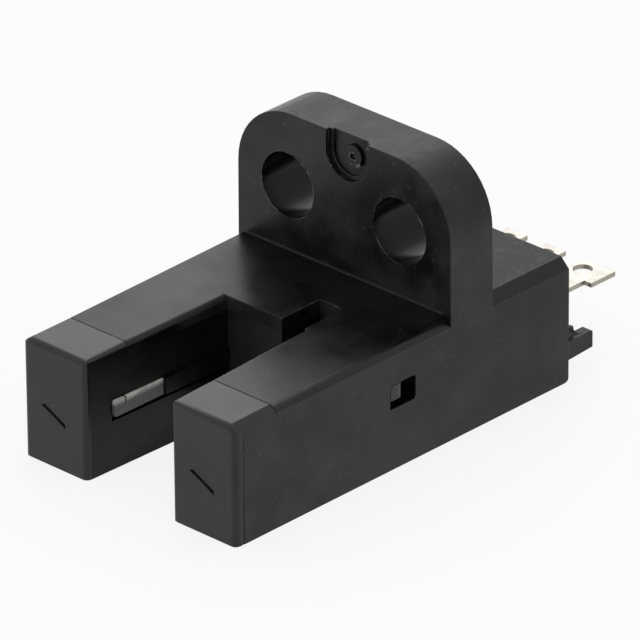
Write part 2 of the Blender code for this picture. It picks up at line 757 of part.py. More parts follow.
def make_window(name, side):
    """Models one window: the glossy bar in the slot wall and the lip behind the wall."""
    near_x, far_x = sorted((side * (slot_wall(WINDOW_FRONT) - RIB_PROUD), side * (LIP_NEAR + WINDOW_LIP / 2)))
    window = finish(name, plate([window_outline()], near_x, far_x, "X"), FILTER_RESIN)
    near_x, far_x = sorted((side * LIP_NEAR, side * LIP_FAR))
    lip = block((near_x, WINDOW_FRONT - WINDOW_LIP_MARGIN, WINDOW_LOW - WINDOW_LIP_MARGIN),
                (far_x, WINDOW_END + WINDOW_LIP_MARGIN, WINDOW_HIGH + WINDOW_LIP_MARGIN))
    join(window, finish(name + "_lip", lip))


def lead_place(side, place):
    """Gives a lead's distance from the middle."""
    return side * (LEAD_MIDDLE + place * LEAD_PITCH)


def lead_form(side, place):
    """Makes one flat lead, with the wider stub where it was cut from its strip."""
    middle = lead_place(side, place)
    half = LEAD_WIDTH / 2
    wide = LEAD_STUB_WIDTH / 2
    stub_start = PACKAGE_REAR + 2 * SEAM
    stub_end = stub_start + LEAD_STUB_LENGTH
    right = [(half, LEAD_START), (half, stub_start), (wide, stub_start), (wide, stub_end), (half, stub_end),
             (half, BOARD_FRONT + LEAD_LANDING)]
    outline = [(middle + x, y) for x, y in right] + [(middle - x, y) for x, y in reversed(right)]
    return plate([outline], METAL_LOW, METAL_LOW + LEAD_THICKNESS)


def lead_room_form(side, place):
    """Makes the room for one lead in its package."""
    middle = lead_place(side, place)
    half = LEAD_WIDTH / 2 + SEAM
    return block((middle - half, LEAD_START - SEAM, METAL_LOW - SEAM),
                 (middle + half, PACKAGE_REAR + BEYOND, METAL_LOW + LEAD_THICKNESS + SEAM))


def make_package(name, side, places, resin):
    """Models one side-looking package with its lens, and the leads that it holds."""
    near_x, far_x = sorted((side * PACKAGE_NEAR, side * PACKAGE_FAR))
    bm = block((near_x, PACKAGE_REAR - PACKAGE_LENGTH, PACKAGE_LOW),
               (far_x, PACKAGE_REAR, PACKAGE_LOW + PACKAGE_HEIGHT))
    bevel(bm, upright, PACKAGE_BEVEL)
    package = finish(name, bm, resin)
    lens = bmesh.new()
    centre = (side * (PACKAGE_NEAR - LENS_HEIGHT + LENS_RADIUS), WINDOW_MIDDLE, AXIS_HEIGHT)
    bmesh.ops.create_uvsphere(lens, u_segments=LENS_SEGMENTS, v_segments=LENS_RINGS, radius=LENS_RADIUS,
                              matrix=Matrix.Translation(centre))
    join(package, finish(name + "_lens", lens))
    for place in places:
        cut(package, finish(f"{name}_socket_{place}", lead_room_form(side, place)))
    return package


def make_leads(name, side, places):
    """Models the flat leads of one package."""
    for number, place in enumerate(places):
        finish(f"{name}_{number + 1}", lead_form(side, place), TINNED_COPPER)


def make_board():
    """Models the circuit board, with cut corners and its two holes for the cover's pins."""
    corner = BOARD_CORNER
    right = [(BOARD_HALF - corner, BOARD_FRONT), (BOARD_HALF, BOARD_FRONT + corner),
             (BOARD_HALF, BOARD_REAR - corner), (BOARD_HALF - corner, BOARD_REAR)]
    outline = right + [(-x, y) for x, y in reversed(right)]
    board = finish("circuit_board", plate([outline], BOARD_LOW, BOARD_TOP), GLASS_EPOXY)
    for side in (-1, 1):
        centre = (side * (BOARD_HALF - POST_INSET), BOARD_REAR - POST_INSET, BOARD_TOP)
        hole = cylinder(centre, PIN_DIAMETER + 2 * SEAM, 2 * BOARD_THICKNESS + BEYOND)
        cut(board, finish(f"board_hole_{side}", hole))
    return board


def chip_leg_form(side, y):
    """Makes one gull-wing leg of the amplifier chip."""
    bottom = BOARD_TOP + SEAM
    thick = CHIP_LEG_THICKNESS
    inner = CHIP_WIDTH / 2 - 2 * CHIP_TAPER
    knee = CHIP_WIDTH / 2 + CHIP_LEG_KNEE
    tip = CHIP_WIDTH / 2 + CHIP_LEG_REACH
    shoulder = bottom + CHIP_LIFT + CHIP_PARTING - thick / 2
    outline = [(inner, shoulder), (knee, shoulder), (knee, bottom), (tip, bottom), (tip, bottom + thick),
               (knee + thick, bottom + thick), (knee + thick, shoulder + thick), (inner, shoulder + thick)]
    outline = [(side * x, z) for x, z in outline]
    return plate([outline], y - CHIP_LEG_WIDTH / 2, y + CHIP_LEG_WIDTH / 2, "Y")


def make_chip():
    """Models the amplifier chip: a tapered moulded body with four legs on each side."""
    front = BOARD_FRONT + CHIP_SETBACK
    low = BOARD_TOP + SEAM + CHIP_LIFT
    rings = []
    for height, shrink in ((0.0, CHIP_TAPER), (CHIP_PARTING, 0.0), (CHIP_HEIGHT, CHIP_TAPER)):
        half = CHIP_WIDTH / 2 - shrink
        near_y = front + shrink
        far_y = front + CHIP_LENGTH - shrink
        z = low + height
        rings.append([Vector(p) for p in ((-half, near_y, z), (half, near_y, z), (half, far_y, z),
                                          (-half, far_y, z))])
    chip = finish("amplifier_chip", loft(rings), MOULDED_EPOXY)
    for side in (-1, 1):
        for number in range(CHIP_LEGS):
            y = front + CHIP_LENGTH / 2 + (number - (CHIP_LEGS - 1) / 2) * CHIP_LEG_PITCH
            join(chip, finish(f"chip_leg_{side}_{number}", chip_leg_form(side, y)))
    return chip


def make_passive(name, x, y, height, finish_material):
    """Models one chip resistor or capacitor, lengthways, with its two plated ends standing proud."""
    low = BOARD_TOP + SEAM
    half = PASSIVE_LENGTH / 2
    end = half - PASSIVE_END
    proud = PASSIVE_END_PROUD
    right = [(half, low), (half, low + height + 2 * proud), (end, low + height + 2 * proud),
             (end, low + height + proud)]
    bottom = [(-end, low + proud), (end, low + proud), (end, low)]
    outline = right + [(-u, z) for u, z in reversed(right)] + [(-end, low)] + bottom
    outline = [(y + u, z) for u, z in outline]
    finish(name, plate([outline], x - PASSIVE_WIDTH / 2, x + PASSIVE_WIDTH / 2, "X"), finish_material)


def make_terminal(number):
    """Models one flat solder terminal with its hole; the outer two have an ear on their outer side."""
    left, right = terminal_neck(number)
    start = BOARD_REAR - TERMINAL_LANDING
    end = TOTAL_LENGTH
    ear = end - TERMINAL_EAR_LENGTH
    middle = terminal_place(number)
    half = TERMINAL_WIDTH / 2
    left_edge = [(-left, end), (-left, INNER_REAR - BOARD_MARGIN), (-half, INNER_REAR - BOARD_MARGIN),
                 (-half, start)]
    right_edge = [(half, start), (half, INNER_REAR - BOARD_MARGIN), (right, INNER_REAR - BOARD_MARGIN),
                  (right, end)]
    if number == 0:
        left_edge[:1] = [(-half - TERMINAL_EAR, end), (-half - TERMINAL_EAR, ear), (-left, ear)]
    if number == TERMINALS - 1:
        right_edge[-1:] = [(right, ear), (half + TERMINAL_EAR, ear), (half + TERMINAL_EAR, end)]
    outline = []
    for x, y in left_edge + right_edge:
        if (middle + x, y) not in outline:
            outline.append((middle + x, y))
    hole = circle((middle, end - SOLDER_HOLE_SETBACK), SOLDER_HOLE)
    bm = plate([outline, hole], METAL_LOW, METAL_LOW + TERMINAL_THICKNESS)
    finish(f"terminal_{number + 1}", bm, TINNED_BRASS)


BLACK_PBT = material("black_pbt", (0.018, 0.018, 0.019), 0.55)
DARK_POLYCARBONATE = material("dark_polycarbonate", (0.024, 0.023, 0.025), 0.42)
FILTER_RESIN = material("infrared_filter_resin", (0.02, 0.016, 0.02), 0.08)
CLEAR_EPOXY = material("clear_epoxy", (0.55, 0.6, 0.68), 0.12)
SMOKED_EPOXY = material("smoked_epoxy", (0.03, 0.02, 0.03), 0.15)
TINNED_COPPER = material("tinned_copper", (0.72, 0.71, 0.68), 0.3, 1.0)
TINNED_BRASS = material("tinned_brass", (0.83, 0.82, 0.78), 0.28, 1.0)
GLASS_EPOXY = material("glass_epoxy", (0.03, 0.13, 0.06), 0.45)
MOULDED_EPOXY = material("moulded_epoxy", (0.02, 0.02, 0.02), 0.6)
RESISTOR_CERAMIC = material("resistor_ceramic", (0.05, 0.05, 0.05), 0.4)
CAPACITOR_CERAMIC = material("capacitor_ceramic", (0.42, 0.3, 0.2), 0.5)

EMITTER_PLACES = (-1, 1)
RECEIVER_PLACES = (-1, 0, 1)


def main():
    """Models every piece."""
    make_case()
    make_cover()
    make_window("emitter_window", -1)
    make_window("receiver_window", 1)
    make_package("infrared_emitter", -1, EMITTER_PLACES, CLEAR_EPOXY)
    make_package("photo_receiver", 1, RECEIVER_PLACES, SMOKED_EPOXY)
    make_leads("emitter_lead", -1, EMITTER_PLACES)
    make_leads("receiver_lead", 1, RECEIVER_PLACES)
    make_board()
    make_chip()
    passive_x = CHIP_WIDTH / 2 + CHIP_LEG_REACH + PASSIVE_GAP + PASSIVE_WIDTH / 2
    passive_y = BOARD_FRONT + LEAD_LANDING + PASSIVE_GAP + PASSIVE_LENGTH / 2
    make_passive("emitter_resistor", -passive_x, passive_y, RESISTOR_HEIGHT, RESISTOR_CERAMIC)
    make_passive("output_resistor", passive_x, passive_y, RESISTOR_HEIGHT, RESISTOR_CERAMIC)
    capacitor_x = passive_x + PASSIVE_WIDTH + PASSIVE_GAP
    make_passive("supply_capacitor", capacitor_x, passive_y, CAPACITOR_HEIGHT, CAPACITOR_CERAMIC)
    for number in range(TERMINALS):
        make_terminal(number)


main()
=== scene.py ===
"""Looks of a slotted photo sensor, laid out as an add-on and run as a script.

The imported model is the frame: its nodes give every place and size. One operator dresses each group of pieces,
and the last one sets the stage. Sizes are in metres, as in the frame, and textures are scaled in millimetres.
"""

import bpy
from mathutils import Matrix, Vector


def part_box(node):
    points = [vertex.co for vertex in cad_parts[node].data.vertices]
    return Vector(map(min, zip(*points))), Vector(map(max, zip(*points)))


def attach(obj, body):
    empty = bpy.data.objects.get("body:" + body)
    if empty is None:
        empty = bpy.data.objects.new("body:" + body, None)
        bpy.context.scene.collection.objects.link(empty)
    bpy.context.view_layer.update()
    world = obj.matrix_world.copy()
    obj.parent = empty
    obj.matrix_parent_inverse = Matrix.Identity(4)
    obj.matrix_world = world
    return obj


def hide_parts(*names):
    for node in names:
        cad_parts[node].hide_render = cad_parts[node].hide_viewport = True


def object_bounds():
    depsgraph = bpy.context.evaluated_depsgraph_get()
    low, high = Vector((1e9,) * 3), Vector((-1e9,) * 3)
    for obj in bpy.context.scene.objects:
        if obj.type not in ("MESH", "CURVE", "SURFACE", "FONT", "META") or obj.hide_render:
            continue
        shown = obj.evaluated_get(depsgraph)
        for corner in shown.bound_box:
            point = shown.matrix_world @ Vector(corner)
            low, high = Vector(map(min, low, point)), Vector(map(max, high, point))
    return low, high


bl_info = {
    "name": "Photo Sensor Looks",
    "version": (1, 0, 0),
    "blender": (4, 5, 0),
    "location": "3D View > Sidebar > Photo Sensor",
    "description": "Dresses a slotted photo sensor in moulded plastic and tinned metal, and lights it",
    "category": "Object",
}

import math
from collections import namedtuple

import bmesh
import bpy
from bpy.props import FloatProperty, FloatVectorProperty, PointerProperty
from mathutils import Matrix, Vector

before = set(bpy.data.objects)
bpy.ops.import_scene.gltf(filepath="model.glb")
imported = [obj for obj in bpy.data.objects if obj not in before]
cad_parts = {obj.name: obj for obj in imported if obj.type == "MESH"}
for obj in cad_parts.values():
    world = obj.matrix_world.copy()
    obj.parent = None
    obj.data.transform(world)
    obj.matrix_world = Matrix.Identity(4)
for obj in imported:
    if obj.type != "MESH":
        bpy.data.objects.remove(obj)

MM = 0.001
BODY = "root"
CAD_BOX = [list(corner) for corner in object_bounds()]

# The finest distance between two points of the frame's solids, and the angles that tell a face from a curve
WELD = 0.0005 * MM
FLAT_ANGLE = math.radians(0.3)
EDGE_ANGLE = math.radians(33.0)

# How near a point lies to a plane that it is on, the share of a short edge that a rounding takes, and its steps
ON_PLANE = 0.002 * MM
EDGE_SHARE = 0.4
EDGE_STEPS = 2

# How much shorter a pattern is along the direction it was drawn in, how the scuffs run, and plain shader values
DRAWN_SHARE = 0.15
SCUFF_TURN = math.radians(25.0)
SCUFF_STRETCH = 0.6
SCUFF_GLOSS = 0.16
RIM_GLOSS = 0.24
BORE_GLOSS = 0.17
BORE_ROUGHNESS = 0.17

# The shader's socket for how much a plastic reflects
GLOSS = "Specular IOR Level"

# The heights, in millimetres, between which a painted highlight fades in along the top of a window's bar
PAINTED_HIGHLIGHT_HEIGHTS = (3.36, 3.7)

# How far the floor lies under the object, so that no face of it lies in the floor, and half the floor's length,
# in metres
FLOOR_GAP = 0.02 * MM
FLOOR_HALF = 4.0

# The camera's picture width, in millimetres, and the nearest and furthest that it sees, in metres
PICTURE_WIDTH = 36.0
NEAREST = 0.01
FURTHEST = 20.0

# The height of the whole object's underside
UNDERSIDE = CAD_BOX[0][2]

# The share of the largest face's area from which a face has a say in the normal of their shared point
LARGE_SHARE = 0.3

# Places in the list of a shell's finishes: two that every shell has, then the case's own and the cover's own,
# and the place that leaves a rounding with the finish beside it
SKIN, EDGE = 0, 1
# The fifth place holds the finish of the sides, whose paler colour is painted light
BORE, SCUFFED, PAINTED_SIDE_LIGHT, STREAKED, SLOT_END = 2, 3, 4, 5, 6
MATT_WALL, DULL_BACK = 2, 3
NO_FINISH = -1

# How much of its normal a face has along an axis: when it looks that way, when it lies flat across it, on the
# flat top of the flange's rim, and at least on the fillet at the flange's foot
FACES_ALONG = 0.5
FLAT_ALONG = 0.9
RIM_ALONG = 0.95
FOOT_ALONG = 0.3

# Planes of the frame, in millimetres, on which the cover meets the case: axis, place, and how far the
# cover's points there go towards the case, because a moulded part closes the clearance of the solids
COVER_SEAMS = (("z", 5.68, 0.045), ("y", -11.35, 0.045), ("y", -13.57, 0.032), ("z", 5.96, -0.045))

# Heights, in millimetres, of the cover's joints with the case's top plate and side walls and of the foot of the
# flange's sides, where no edge shows and so none is rounded
HIDDEN_JOINTS = (5.68, 5.725, 5.73, 5.91, 5.915)
JOINT_REACH = 0.004

# The screw holes, the flange's faces, the case's top and the slot, in millimetres
HOLE_PLACE = (3.62, 9.93)
HOLE_RADIUS = 1.7
RIM_REACH = 0.05
FLANGE_FACES = (0.49, 3.41)
CASE_TOP = 6.4
SLOT_HALF = 2.85
SLOT_START = -13.7

# The broken ring at the gate, in millimetres: its centre and its radius
GATE_SCAR = (0.45, 0.72, 12.71)
SCAR_RADIUS = 0.42

# The points round a ragged ring, the sides of its thread, and the middle value of noise
BURR_POINTS = 160
BURR_SIDES = 7
NOISE_MIDDLE = (0.5, 0.5, 0.5)

# Every ragged ring, in millimetres: its centre and radius, the case's size that is its thickness and the share
# of it, how far it strays from round, how long a tear is, and the seed of its noise
Ring = namedtuple("Ring", "name centre radius size share stray tear seed")
RINGS = (
    Ring("gate_scar", GATE_SCAR, SCAR_RADIUS, "scar", 1.0, 0.6, 0.22, 3.0),
    Ring("gate_tear", GATE_SCAR, SCAR_RADIUS / 2, "scar", 1.0, 0.5, 0.15, 4.0),
    Ring("edge_chip_left", (-1.8, FLANGE_FACES[0], 13.56), 0.05, "scar", 1.0, 0.12, 0.15, 6.0),
    Ring("edge_chip_right", (1.62, FLANGE_FACES[0], 13.56), 0.05, "scar", 1.0, 0.12, 0.15, 7.0),
    Ring("hole_burr_left", (-HOLE_PLACE[0], FLANGE_FACES[0], HOLE_PLACE[1]), HOLE_RADIUS, "burr", 1.0, 0.08, 0.9, 5.0),
    Ring("hole_burr_right", (HOLE_PLACE[0], FLANGE_FACES[0], HOLE_PLACE[1]), HOLE_RADIUS, "burr", 0.5, 0.05, 0.9, 8.0),
)

# The sunk line under the slot walls' ribs, in millimetres: its heights, where it starts, its depth and its slope
GROOVE_HEIGHTS = (2.57, 2.8)
GROOVE_START = -12.42
GROOVE_DEPTH = 0.2
GROOVE_SIDE = 0.01

# The heights, in millimetres, between which the slot walls' ribs and the lines under them lie
RIB_HEIGHTS = (2.45, 3.8)

# Where the resin met itself in a window's bar, in millimetres: place, half width, and from what height it shows
MEETING_LINE = (-11.63, 0.045)
MEETING_HEIGHTS = (3.3, 3.42)

# Floors of the gate recess, in millimetres along Y, and how much deeper the moulded steps read than modelled
GATE_FLOORS = ((0.64, 0.07), (0.79, 0.05))
GATE_REGION = (1.7, 11.3)


def linear(code):
    """Turns an sRGB hex value into a linear colour."""
    channels = [int(code[place:place + 2], 16) / 255.0 for place in (1, 3, 5)]
    return [c / 12.92 if c <= 0.04045 else ((c + 0.055) / 1.055) ** 2.4 for c in channels]


def colour_property(name, description, code):
    """Makes a colour property from its sRGB hex value."""
    return FloatVectorProperty(name=name, description=description, subtype="COLOR", size=3, min=0.0, max=1.0,
                               default=linear(code))


def size_property(name, description, millimetres):
    """Makes a length property from its size in millimetres."""
    return FloatProperty(name=name, description=description, unit="LENGTH", min=0.0, precision=6,
                         default=millimetres * MM)


def share_property(name, description, value, highest=1.0):
    """Makes a property for a share or a shader value."""
    return FloatProperty(name=name, description=description, min=0.0, max=highest, default=value)


def angle_property(name, description, degrees):
    """Makes an angle property from its value in degrees."""
    return FloatProperty(name=name, description=description, subtype="ANGLE", default=math.radians(degrees))


class CaseLook(bpy.types.PropertyGroup):
    """Sizes and colours of the case."""
    edge: size_property("Edge radius", "Radius that the mould leaves on the case's edges", 0.04)
    colour: colour_property("Resin", "Colour of the glass-filled resin", "#050506")
    cloud_colour: colour_property("Flow marks", "Colour where the resin flowed slower", "#0e0e0f")
    cloud_size: size_property("Flow mark size", "Distance between flow marks", 2.6)
    # The sides' paler flow-mark colour is painted light that brightens the side faces and the rim
    painted_side_light_colour: colour_property("Painted side light", "Colour of the flow marks on the outer sides", "#242223")
    speck_colour: colour_property("Fibre specks", "Colour of the glass fibre that shows at the skin", "#4f4d4e")
    speck_size: size_property("Speck size", "Distance between fibre specks", 0.3)
    grain_size: size_property("Grain size", "Distance between the bumps of the eroded mould face", 0.13)
    grain_depth: size_property("Grain depth", "Height of the bumps of the eroded mould face", 0.004)
    roughness: share_property("Roughness", "Roughness of the moulded skin", 0.3)
    gloss: share_property("Gloss", "Specular level of the moulded skin", 0.3)
    # The pale patches on the edges are partly chips and partly painted edge highlights
    worn_and_highlight_colour: colour_property("Worn and highlit edge", "Colour where an edge is rubbed or chipped", "#666365")
    worn_size: size_property("Wear size", "Distance between the chips along an edge", 0.5)
    scuff_colour: colour_property("Scuffs", "Colour of the scuffs on the rear top", "#45454b")
    scuff_size: size_property("Scuff size", "Length of a scuff on the rear top", 0.42)
    streak_size: size_property("Streak size", "Length of a streak on the flange's rim", 2.0)
    burr: size_property("Burr thickness", "Thickness of the ragged rim round the holes", 0.03)
    scar: size_property("Scar thickness", "Thickness of the broken ring at the gate", 0.08)


class CoverLook(bpy.types.PropertyGroup):
    """Sizes and colours of the slot cover."""
    edge: size_property("Edge radius", "Radius that the mould leaves on the cover's edges", 0.04)
    colour: colour_property("Resin", "Colour of the cover's resin", "#08080a")
    cloud_colour: colour_property("Flow marks", "Colour where the resin flowed slower", "#141416")
    cloud_size: size_property("Flow mark size", "Distance between flow marks", 3.0)
    speck_colour: colour_property("Dust specks", "Colour of the fine dust on the caps", "#4c4c50")
    speck_size: size_property("Speck size", "Distance between dust specks", 0.34)
    grain_size: size_property("Grain size", "Distance between the bumps of the mould face", 0.11)
    grain_depth: size_property("Grain depth", "Height of the bumps of the mould face", 0.0025)
    roughness: share_property("Roughness", "Roughness of the moulded skin", 0.27)
    gloss: share_property("Gloss", "Specular level of the moulded skin", 0.41)
    wall_gloss: share_property("Slot wall gloss", "Specular level of the matt walls in the slot", 0.18)
    # The pale patches on the edges are partly rubbed places and partly painted edge highlights
    worn_and_highlight_colour: colour_property("Worn and highlit edge", "Colour where an edge is rubbed", "#565558")
    worn_size: size_property("Wear size", "Distance between the rubbed places along an edge", 0.7)


class WindowLook(bpy.types.PropertyGroup):
    """Sizes and colours of the two windows."""
    edge: size_property("Edge radius", "Radius along the edges of a window's bar", 0.07)
    colour: colour_property("Resin", "Colour of the resin that passes infrared light", "#5e5d60")
    # The bar's top is painted pale by height: a painted highlight
    painted_highlight_colour: colour_property("Painted highlight", "Colour of the bar's top, where light gathers in it", "#f6f5ee")
    line_colour: colour_property("Meeting line", "Colour of the line where the resin met itself", "#18181a")
    ripple_size: size_property("Ripple size", "Distance between the ripples in the polished face", 0.9)
    ripple_depth: size_property("Ripple depth", "Height of the ripples in the polished face", 0.002)
    roughness: share_property("Roughness", "Roughness of the polished face", 0.12)
    gloss: share_property("Gloss", "Specular level of the polished face", 0.2)


class TerminalLook(bpy.types.PropertyGroup):
    """Sizes and colours of the terminals and leads."""
    edge: size_property("Edge radius", "Radius that the stamping die leaves on an edge", 0.03)
    colour: colour_property("Tin", "Colour of the tin plating", "#c0bcb4")
    stain_colour: colour_property("Dull tin", "Colour of the plating where it is duller", "#b2ada3")
    sheared_colour: colour_property("Sheared side", "Colour of the sides that the die sheared", "#a39e93")
    dimple_size: size_property("Dimple size", "Distance between the soft dimples of the plating", 0.4)
    dimple_depth: size_property("Dimple depth", "Depth of the soft dimples of the plating", 0.003)
    roughness: share_property("Roughness", "Roughness of the plating", 0.26)
    sheared_roughness: share_property("Side roughness", "Roughness of the sheared sides", 0.42)


class InsideLook(bpy.types.PropertyGroup):
    """Colours of the pieces inside."""
    mask_colour: colour_property("Solder mask", "Colour of the board's solder mask", "#1d5a34")
    weave_size: size_property("Weave size", "Distance between the glass threads of the board", 0.45)
    compound_colour: colour_property("Moulding compound", "Colour of the chip's body", "#202021")
    resistor_colour: colour_property("Resistor glaze", "Colour of the resistors", "#2c2b2d")
    capacitor_colour: colour_property("Capacitor ceramic", "Colour of the capacitor", "#b09070")
    clear_colour: colour_property("Clear epoxy", "Colour of the emitter's resin", "#d3dbe2")
    smoke_colour: colour_property("Smoked epoxy", "Colour of the receiver's resin", "#2f2431")


class StageLook(bpy.types.PropertyGroup):
    """Camera, floor and lights."""
    azimuth: angle_property("Azimuth", "Direction of the camera round the object", 43.717)
    elevation: angle_property("Elevation", "Height of the camera over the floor as an angle", 27.037)
    roll: angle_property("Roll", "Turn of the camera about its own line of sight", -0.447)
    distance: size_property("Distance", "Distance of the camera from the point it looks at", 455.619)
    aim_x: FloatProperty(name="Aim X", description="Point that the camera looks at", unit="LENGTH",
                         default=-6.265 * MM)
    aim_y: FloatProperty(name="Aim Y", description="Point that the camera looks at", unit="LENGTH",
                         default=5.405 * MM)
    lens: FloatProperty(name="Lens", description="Focal length for a 36 mm wide picture", default=530.66)
    floor_colour: colour_property("Floor", "Colour of the floor", "#f7f7f7")
    floor_glow: share_property("Floor glow", "Share of plain white that the camera sees in the floor", 0.84)
    room: share_property("Room light", "Strength of the white room on the object", 0.75, 4.0)
    back_light: share_property("Back softbox", "Radiance of the softbox behind the object", 1.05, 10.0)
    top_light: share_property("Top softbox", "Radiance of the softbox over the object", 0.2, 10.0)


def give(tree, node, inputs):
    """Gives a node's inputs their values, or links them to other sockets."""
    for name, value in dict(inputs).items():
        if isinstance(value, bpy.types.NodeSocket):
            tree.links.new(value, node.inputs[name])
        else:
            node.inputs[name].default_value = value


def add_node(tree, kind, settings=(), inputs=()):
    """Adds one node: settings are its own properties, inputs are values or the sockets to link."""
    made = tree.nodes.new(kind)
    for name, value in dict(settings).items():
        setattr(made, name, value)
    give(tree, made, inputs)
    return made


def new_material(name):
    """Makes a material and gives it with its tree and its shader, all other nodes gone."""
    made = bpy.data.materials.new(name)
    made.use_nodes = True
    tree = made.node_tree
    tree.nodes.clear()
    shader = add_node(tree, "ShaderNodeBsdfPrincipled")
    add_node(tree, "ShaderNodeOutputMaterial", (), {"Surface": shader.outputs["BSDF"]})
    return made, tree, shader


def rgba(colour, times=1.0):
    """Gives a colour its alpha, and more light where that is asked for."""
    return (*(min(1.0, times * value) for value in colour), 1.0)


def object_millimetres(tree):
    """Gives the object coordinates in millimetres."""
    place = add_node(tree, "ShaderNodeTexCoord")
    scaled = add_node(tree, "ShaderNodeVectorMath", {"operation": "SCALE"},
                      {0: place.outputs["Object"], "Scale": 1.0 / MM})
    return scaled.outputs[0]


def noise_at(tree, place, size, detail=2.0, roughness=0.5):
    """Gives noise whose features are a real size apart."""
    return add_node(tree, "ShaderNodeTexNoise", (), {"Vector": place, "Scale": MM / size, "Detail": detail,
                                                     "Roughness": roughness}).outputs[0]


def spread(tree, value, low, high, new_low=0.0, new_high=1.0):
    """Maps a range of a value to another range, and clamps it."""
    return add_node(tree, "ShaderNodeMapRange", (), {"Value": value, "From Min": low, "From Max": high,
                                                     "To Min": new_low, "To Max": new_high}).outputs[0]


def blend(tree, share, first, second):
    """Mixes two colours by a share."""
    return add_node(tree, "ShaderNodeMix", {"data_type": "RGBA"}, {0: share, 6: first, 7: second}).outputs[2]


def uneven(tree, pattern, value, less=0.0, more=0.0, low=0.35, high=0.7):
    """Lets a pattern vary a roughness, from less than its value to more."""
    return spread(tree, pattern, low, high, value - less, value + more)


def dress(tree, shader, skin, rough, height, depth, plain=()):
    """Gives a shader its colour, its roughness, bumps from a height, and the plain values of other sockets."""
    bump = add_node(tree, "ShaderNodeBump", (), {"Height": height, "Distance": depth, "Strength": 1.0})
    give(tree, shader, {"Base Color": skin, "Roughness": rough, "Normal": bump.outputs[0]})
    give(tree, shader, plain)


def glass_filled_pbt(look, name, marks, specked, roughness):
    """Makes glass-filled PBT, injection moulded against a spark-eroded steel face: matt black, finely mottled.

    Given paler marks and more specks, as for the case's sides and rim, it paints light onto those faces.
    """
    made, tree, shader = new_material(name)
    place = object_millimetres(tree)
    cloud = noise_at(tree, place, look.cloud_size, detail=2.5, roughness=0.55)
    speck = noise_at(tree, place, look.speck_size, detail=4.0, roughness=0.65)
    grain = noise_at(tree, place, look.grain_size)
    resin = blend(tree, spread(tree, cloud, low=0.4, high=0.64), rgba(look.colour), rgba(marks))
    shown = spread(tree, speck, low=specked, high=specked + 0.14, new_high=0.6)
    skin = blend(tree, shown, resin, rgba(look.speck_colour))
    rough = uneven(tree, cloud, roughness, less=0.05, more=0.09)
    dress(tree, shader, skin, rough, grain, look.grain_depth, {GLOSS: look.gloss})
    return made


def rubbed_and_highlit_edge(look, name, chipped):
    """Makes the edge of a moulding, burnished by handling: a little glossier, and pale in ragged patches that are
    partly chips and partly painted highlight.
    """
    made, tree, shader = new_material(name)
    place = object_millimetres(tree)
    chip = noise_at(tree, place, look.worn_size, detail=5.0, roughness=0.7)
    grain = noise_at(tree, place, look.grain_size)
    shown = spread(tree, chip, low=chipped, high=chipped + 0.1)
    skin = blend(tree, shown, rgba(look.colour), rgba(look.worn_and_highlight_colour))
    rough = uneven(tree, chip, look.roughness, less=0.04, more=0.12, low=0.4)
    dress(tree, shader, skin, rough, grain, look.grain_depth, {GLOSS: look.gloss})
    return made


def pin_drawn_bore(look):
    """Makes the walls that a polished core pin leaves in the screw holes: smooth, dark, drawn along the pin."""
    made, tree, shader = new_material("glass_filled_pbt_pin_drawn")
    place = object_millimetres(tree)
    drawn = add_node(tree, "ShaderNodeMapping", (), {"Vector": place, "Scale": (1.0, DRAWN_SHARE, 1.0)}).outputs[0]
    streak = noise_at(tree, drawn, look.speck_size, detail=3.0)
    skin = blend(tree, spread(tree, streak, low=0.45, high=0.7), rgba(look.colour), rgba(look.cloud_colour))
    rough = uneven(tree, streak, BORE_ROUGHNESS, more=0.1, low=0.3)
    dress(tree, shader, skin, rough, streak, look.grain_depth / 2, {GLOSS: BORE_GLOSS})
    return made


def scuffed_pbt(look, name, size, gloss, roughness):
    """Makes the faces that lay on other parts in the box: duller, with pale scuffs of a given length."""
    made, tree, shader = new_material(name)
    place = object_millimetres(tree)
    along = add_node(tree, "ShaderNodeMapping", (), {"Vector": place, "Rotation": (0.0, 0.0, SCUFF_TURN),
                                                     "Scale": (1.0, SCUFF_STRETCH, 1.0)}).outputs[0]
    scuff = noise_at(tree, along, size, detail=6.0, roughness=0.72)
    cloud = noise_at(tree, place, look.cloud_size, detail=4.0, roughness=0.6)
    resin = blend(tree, spread(tree, cloud, low=0.38, high=0.68), rgba(look.colour), rgba(look.cloud_colour))
    skin = blend(tree, spread(tree, scuff, low=0.53, high=0.68), resin, rgba(look.scuff_colour))
    rough = uneven(tree, scuff, roughness, more=0.23)
    dress(tree, shader, skin, rough, scuff, look.grain_depth, {GLOSS: gloss})
    return made


def black_polycarbonate(look, name, gloss, roughness):
    """Makes black polycarbonate, injection moulded against a fine matt face: smoother than the case."""
    made, tree, shader = new_material(name)
    place = object_millimetres(tree)
    cloud = noise_at(tree, place, look.cloud_size, detail=5.0, roughness=0.6)
    speck = noise_at(tree, place, look.speck_size, detail=4.0, roughness=0.65)
    grain = noise_at(tree, place, look.grain_size)
    resin = blend(tree, spread(tree, cloud, low=0.4, high=0.65), rgba(look.colour), rgba(look.cloud_colour))
    shown = spread(tree, speck, low=0.68, high=0.8, new_high=0.5)
    skin = blend(tree, shown, resin, rgba(look.speck_colour))
    rough = uneven(tree, cloud, roughness, less=0.04, more=0.07)
    dress(tree, shader, skin, rough, grain, look.grain_depth, {GLOSS: gloss})
    return made


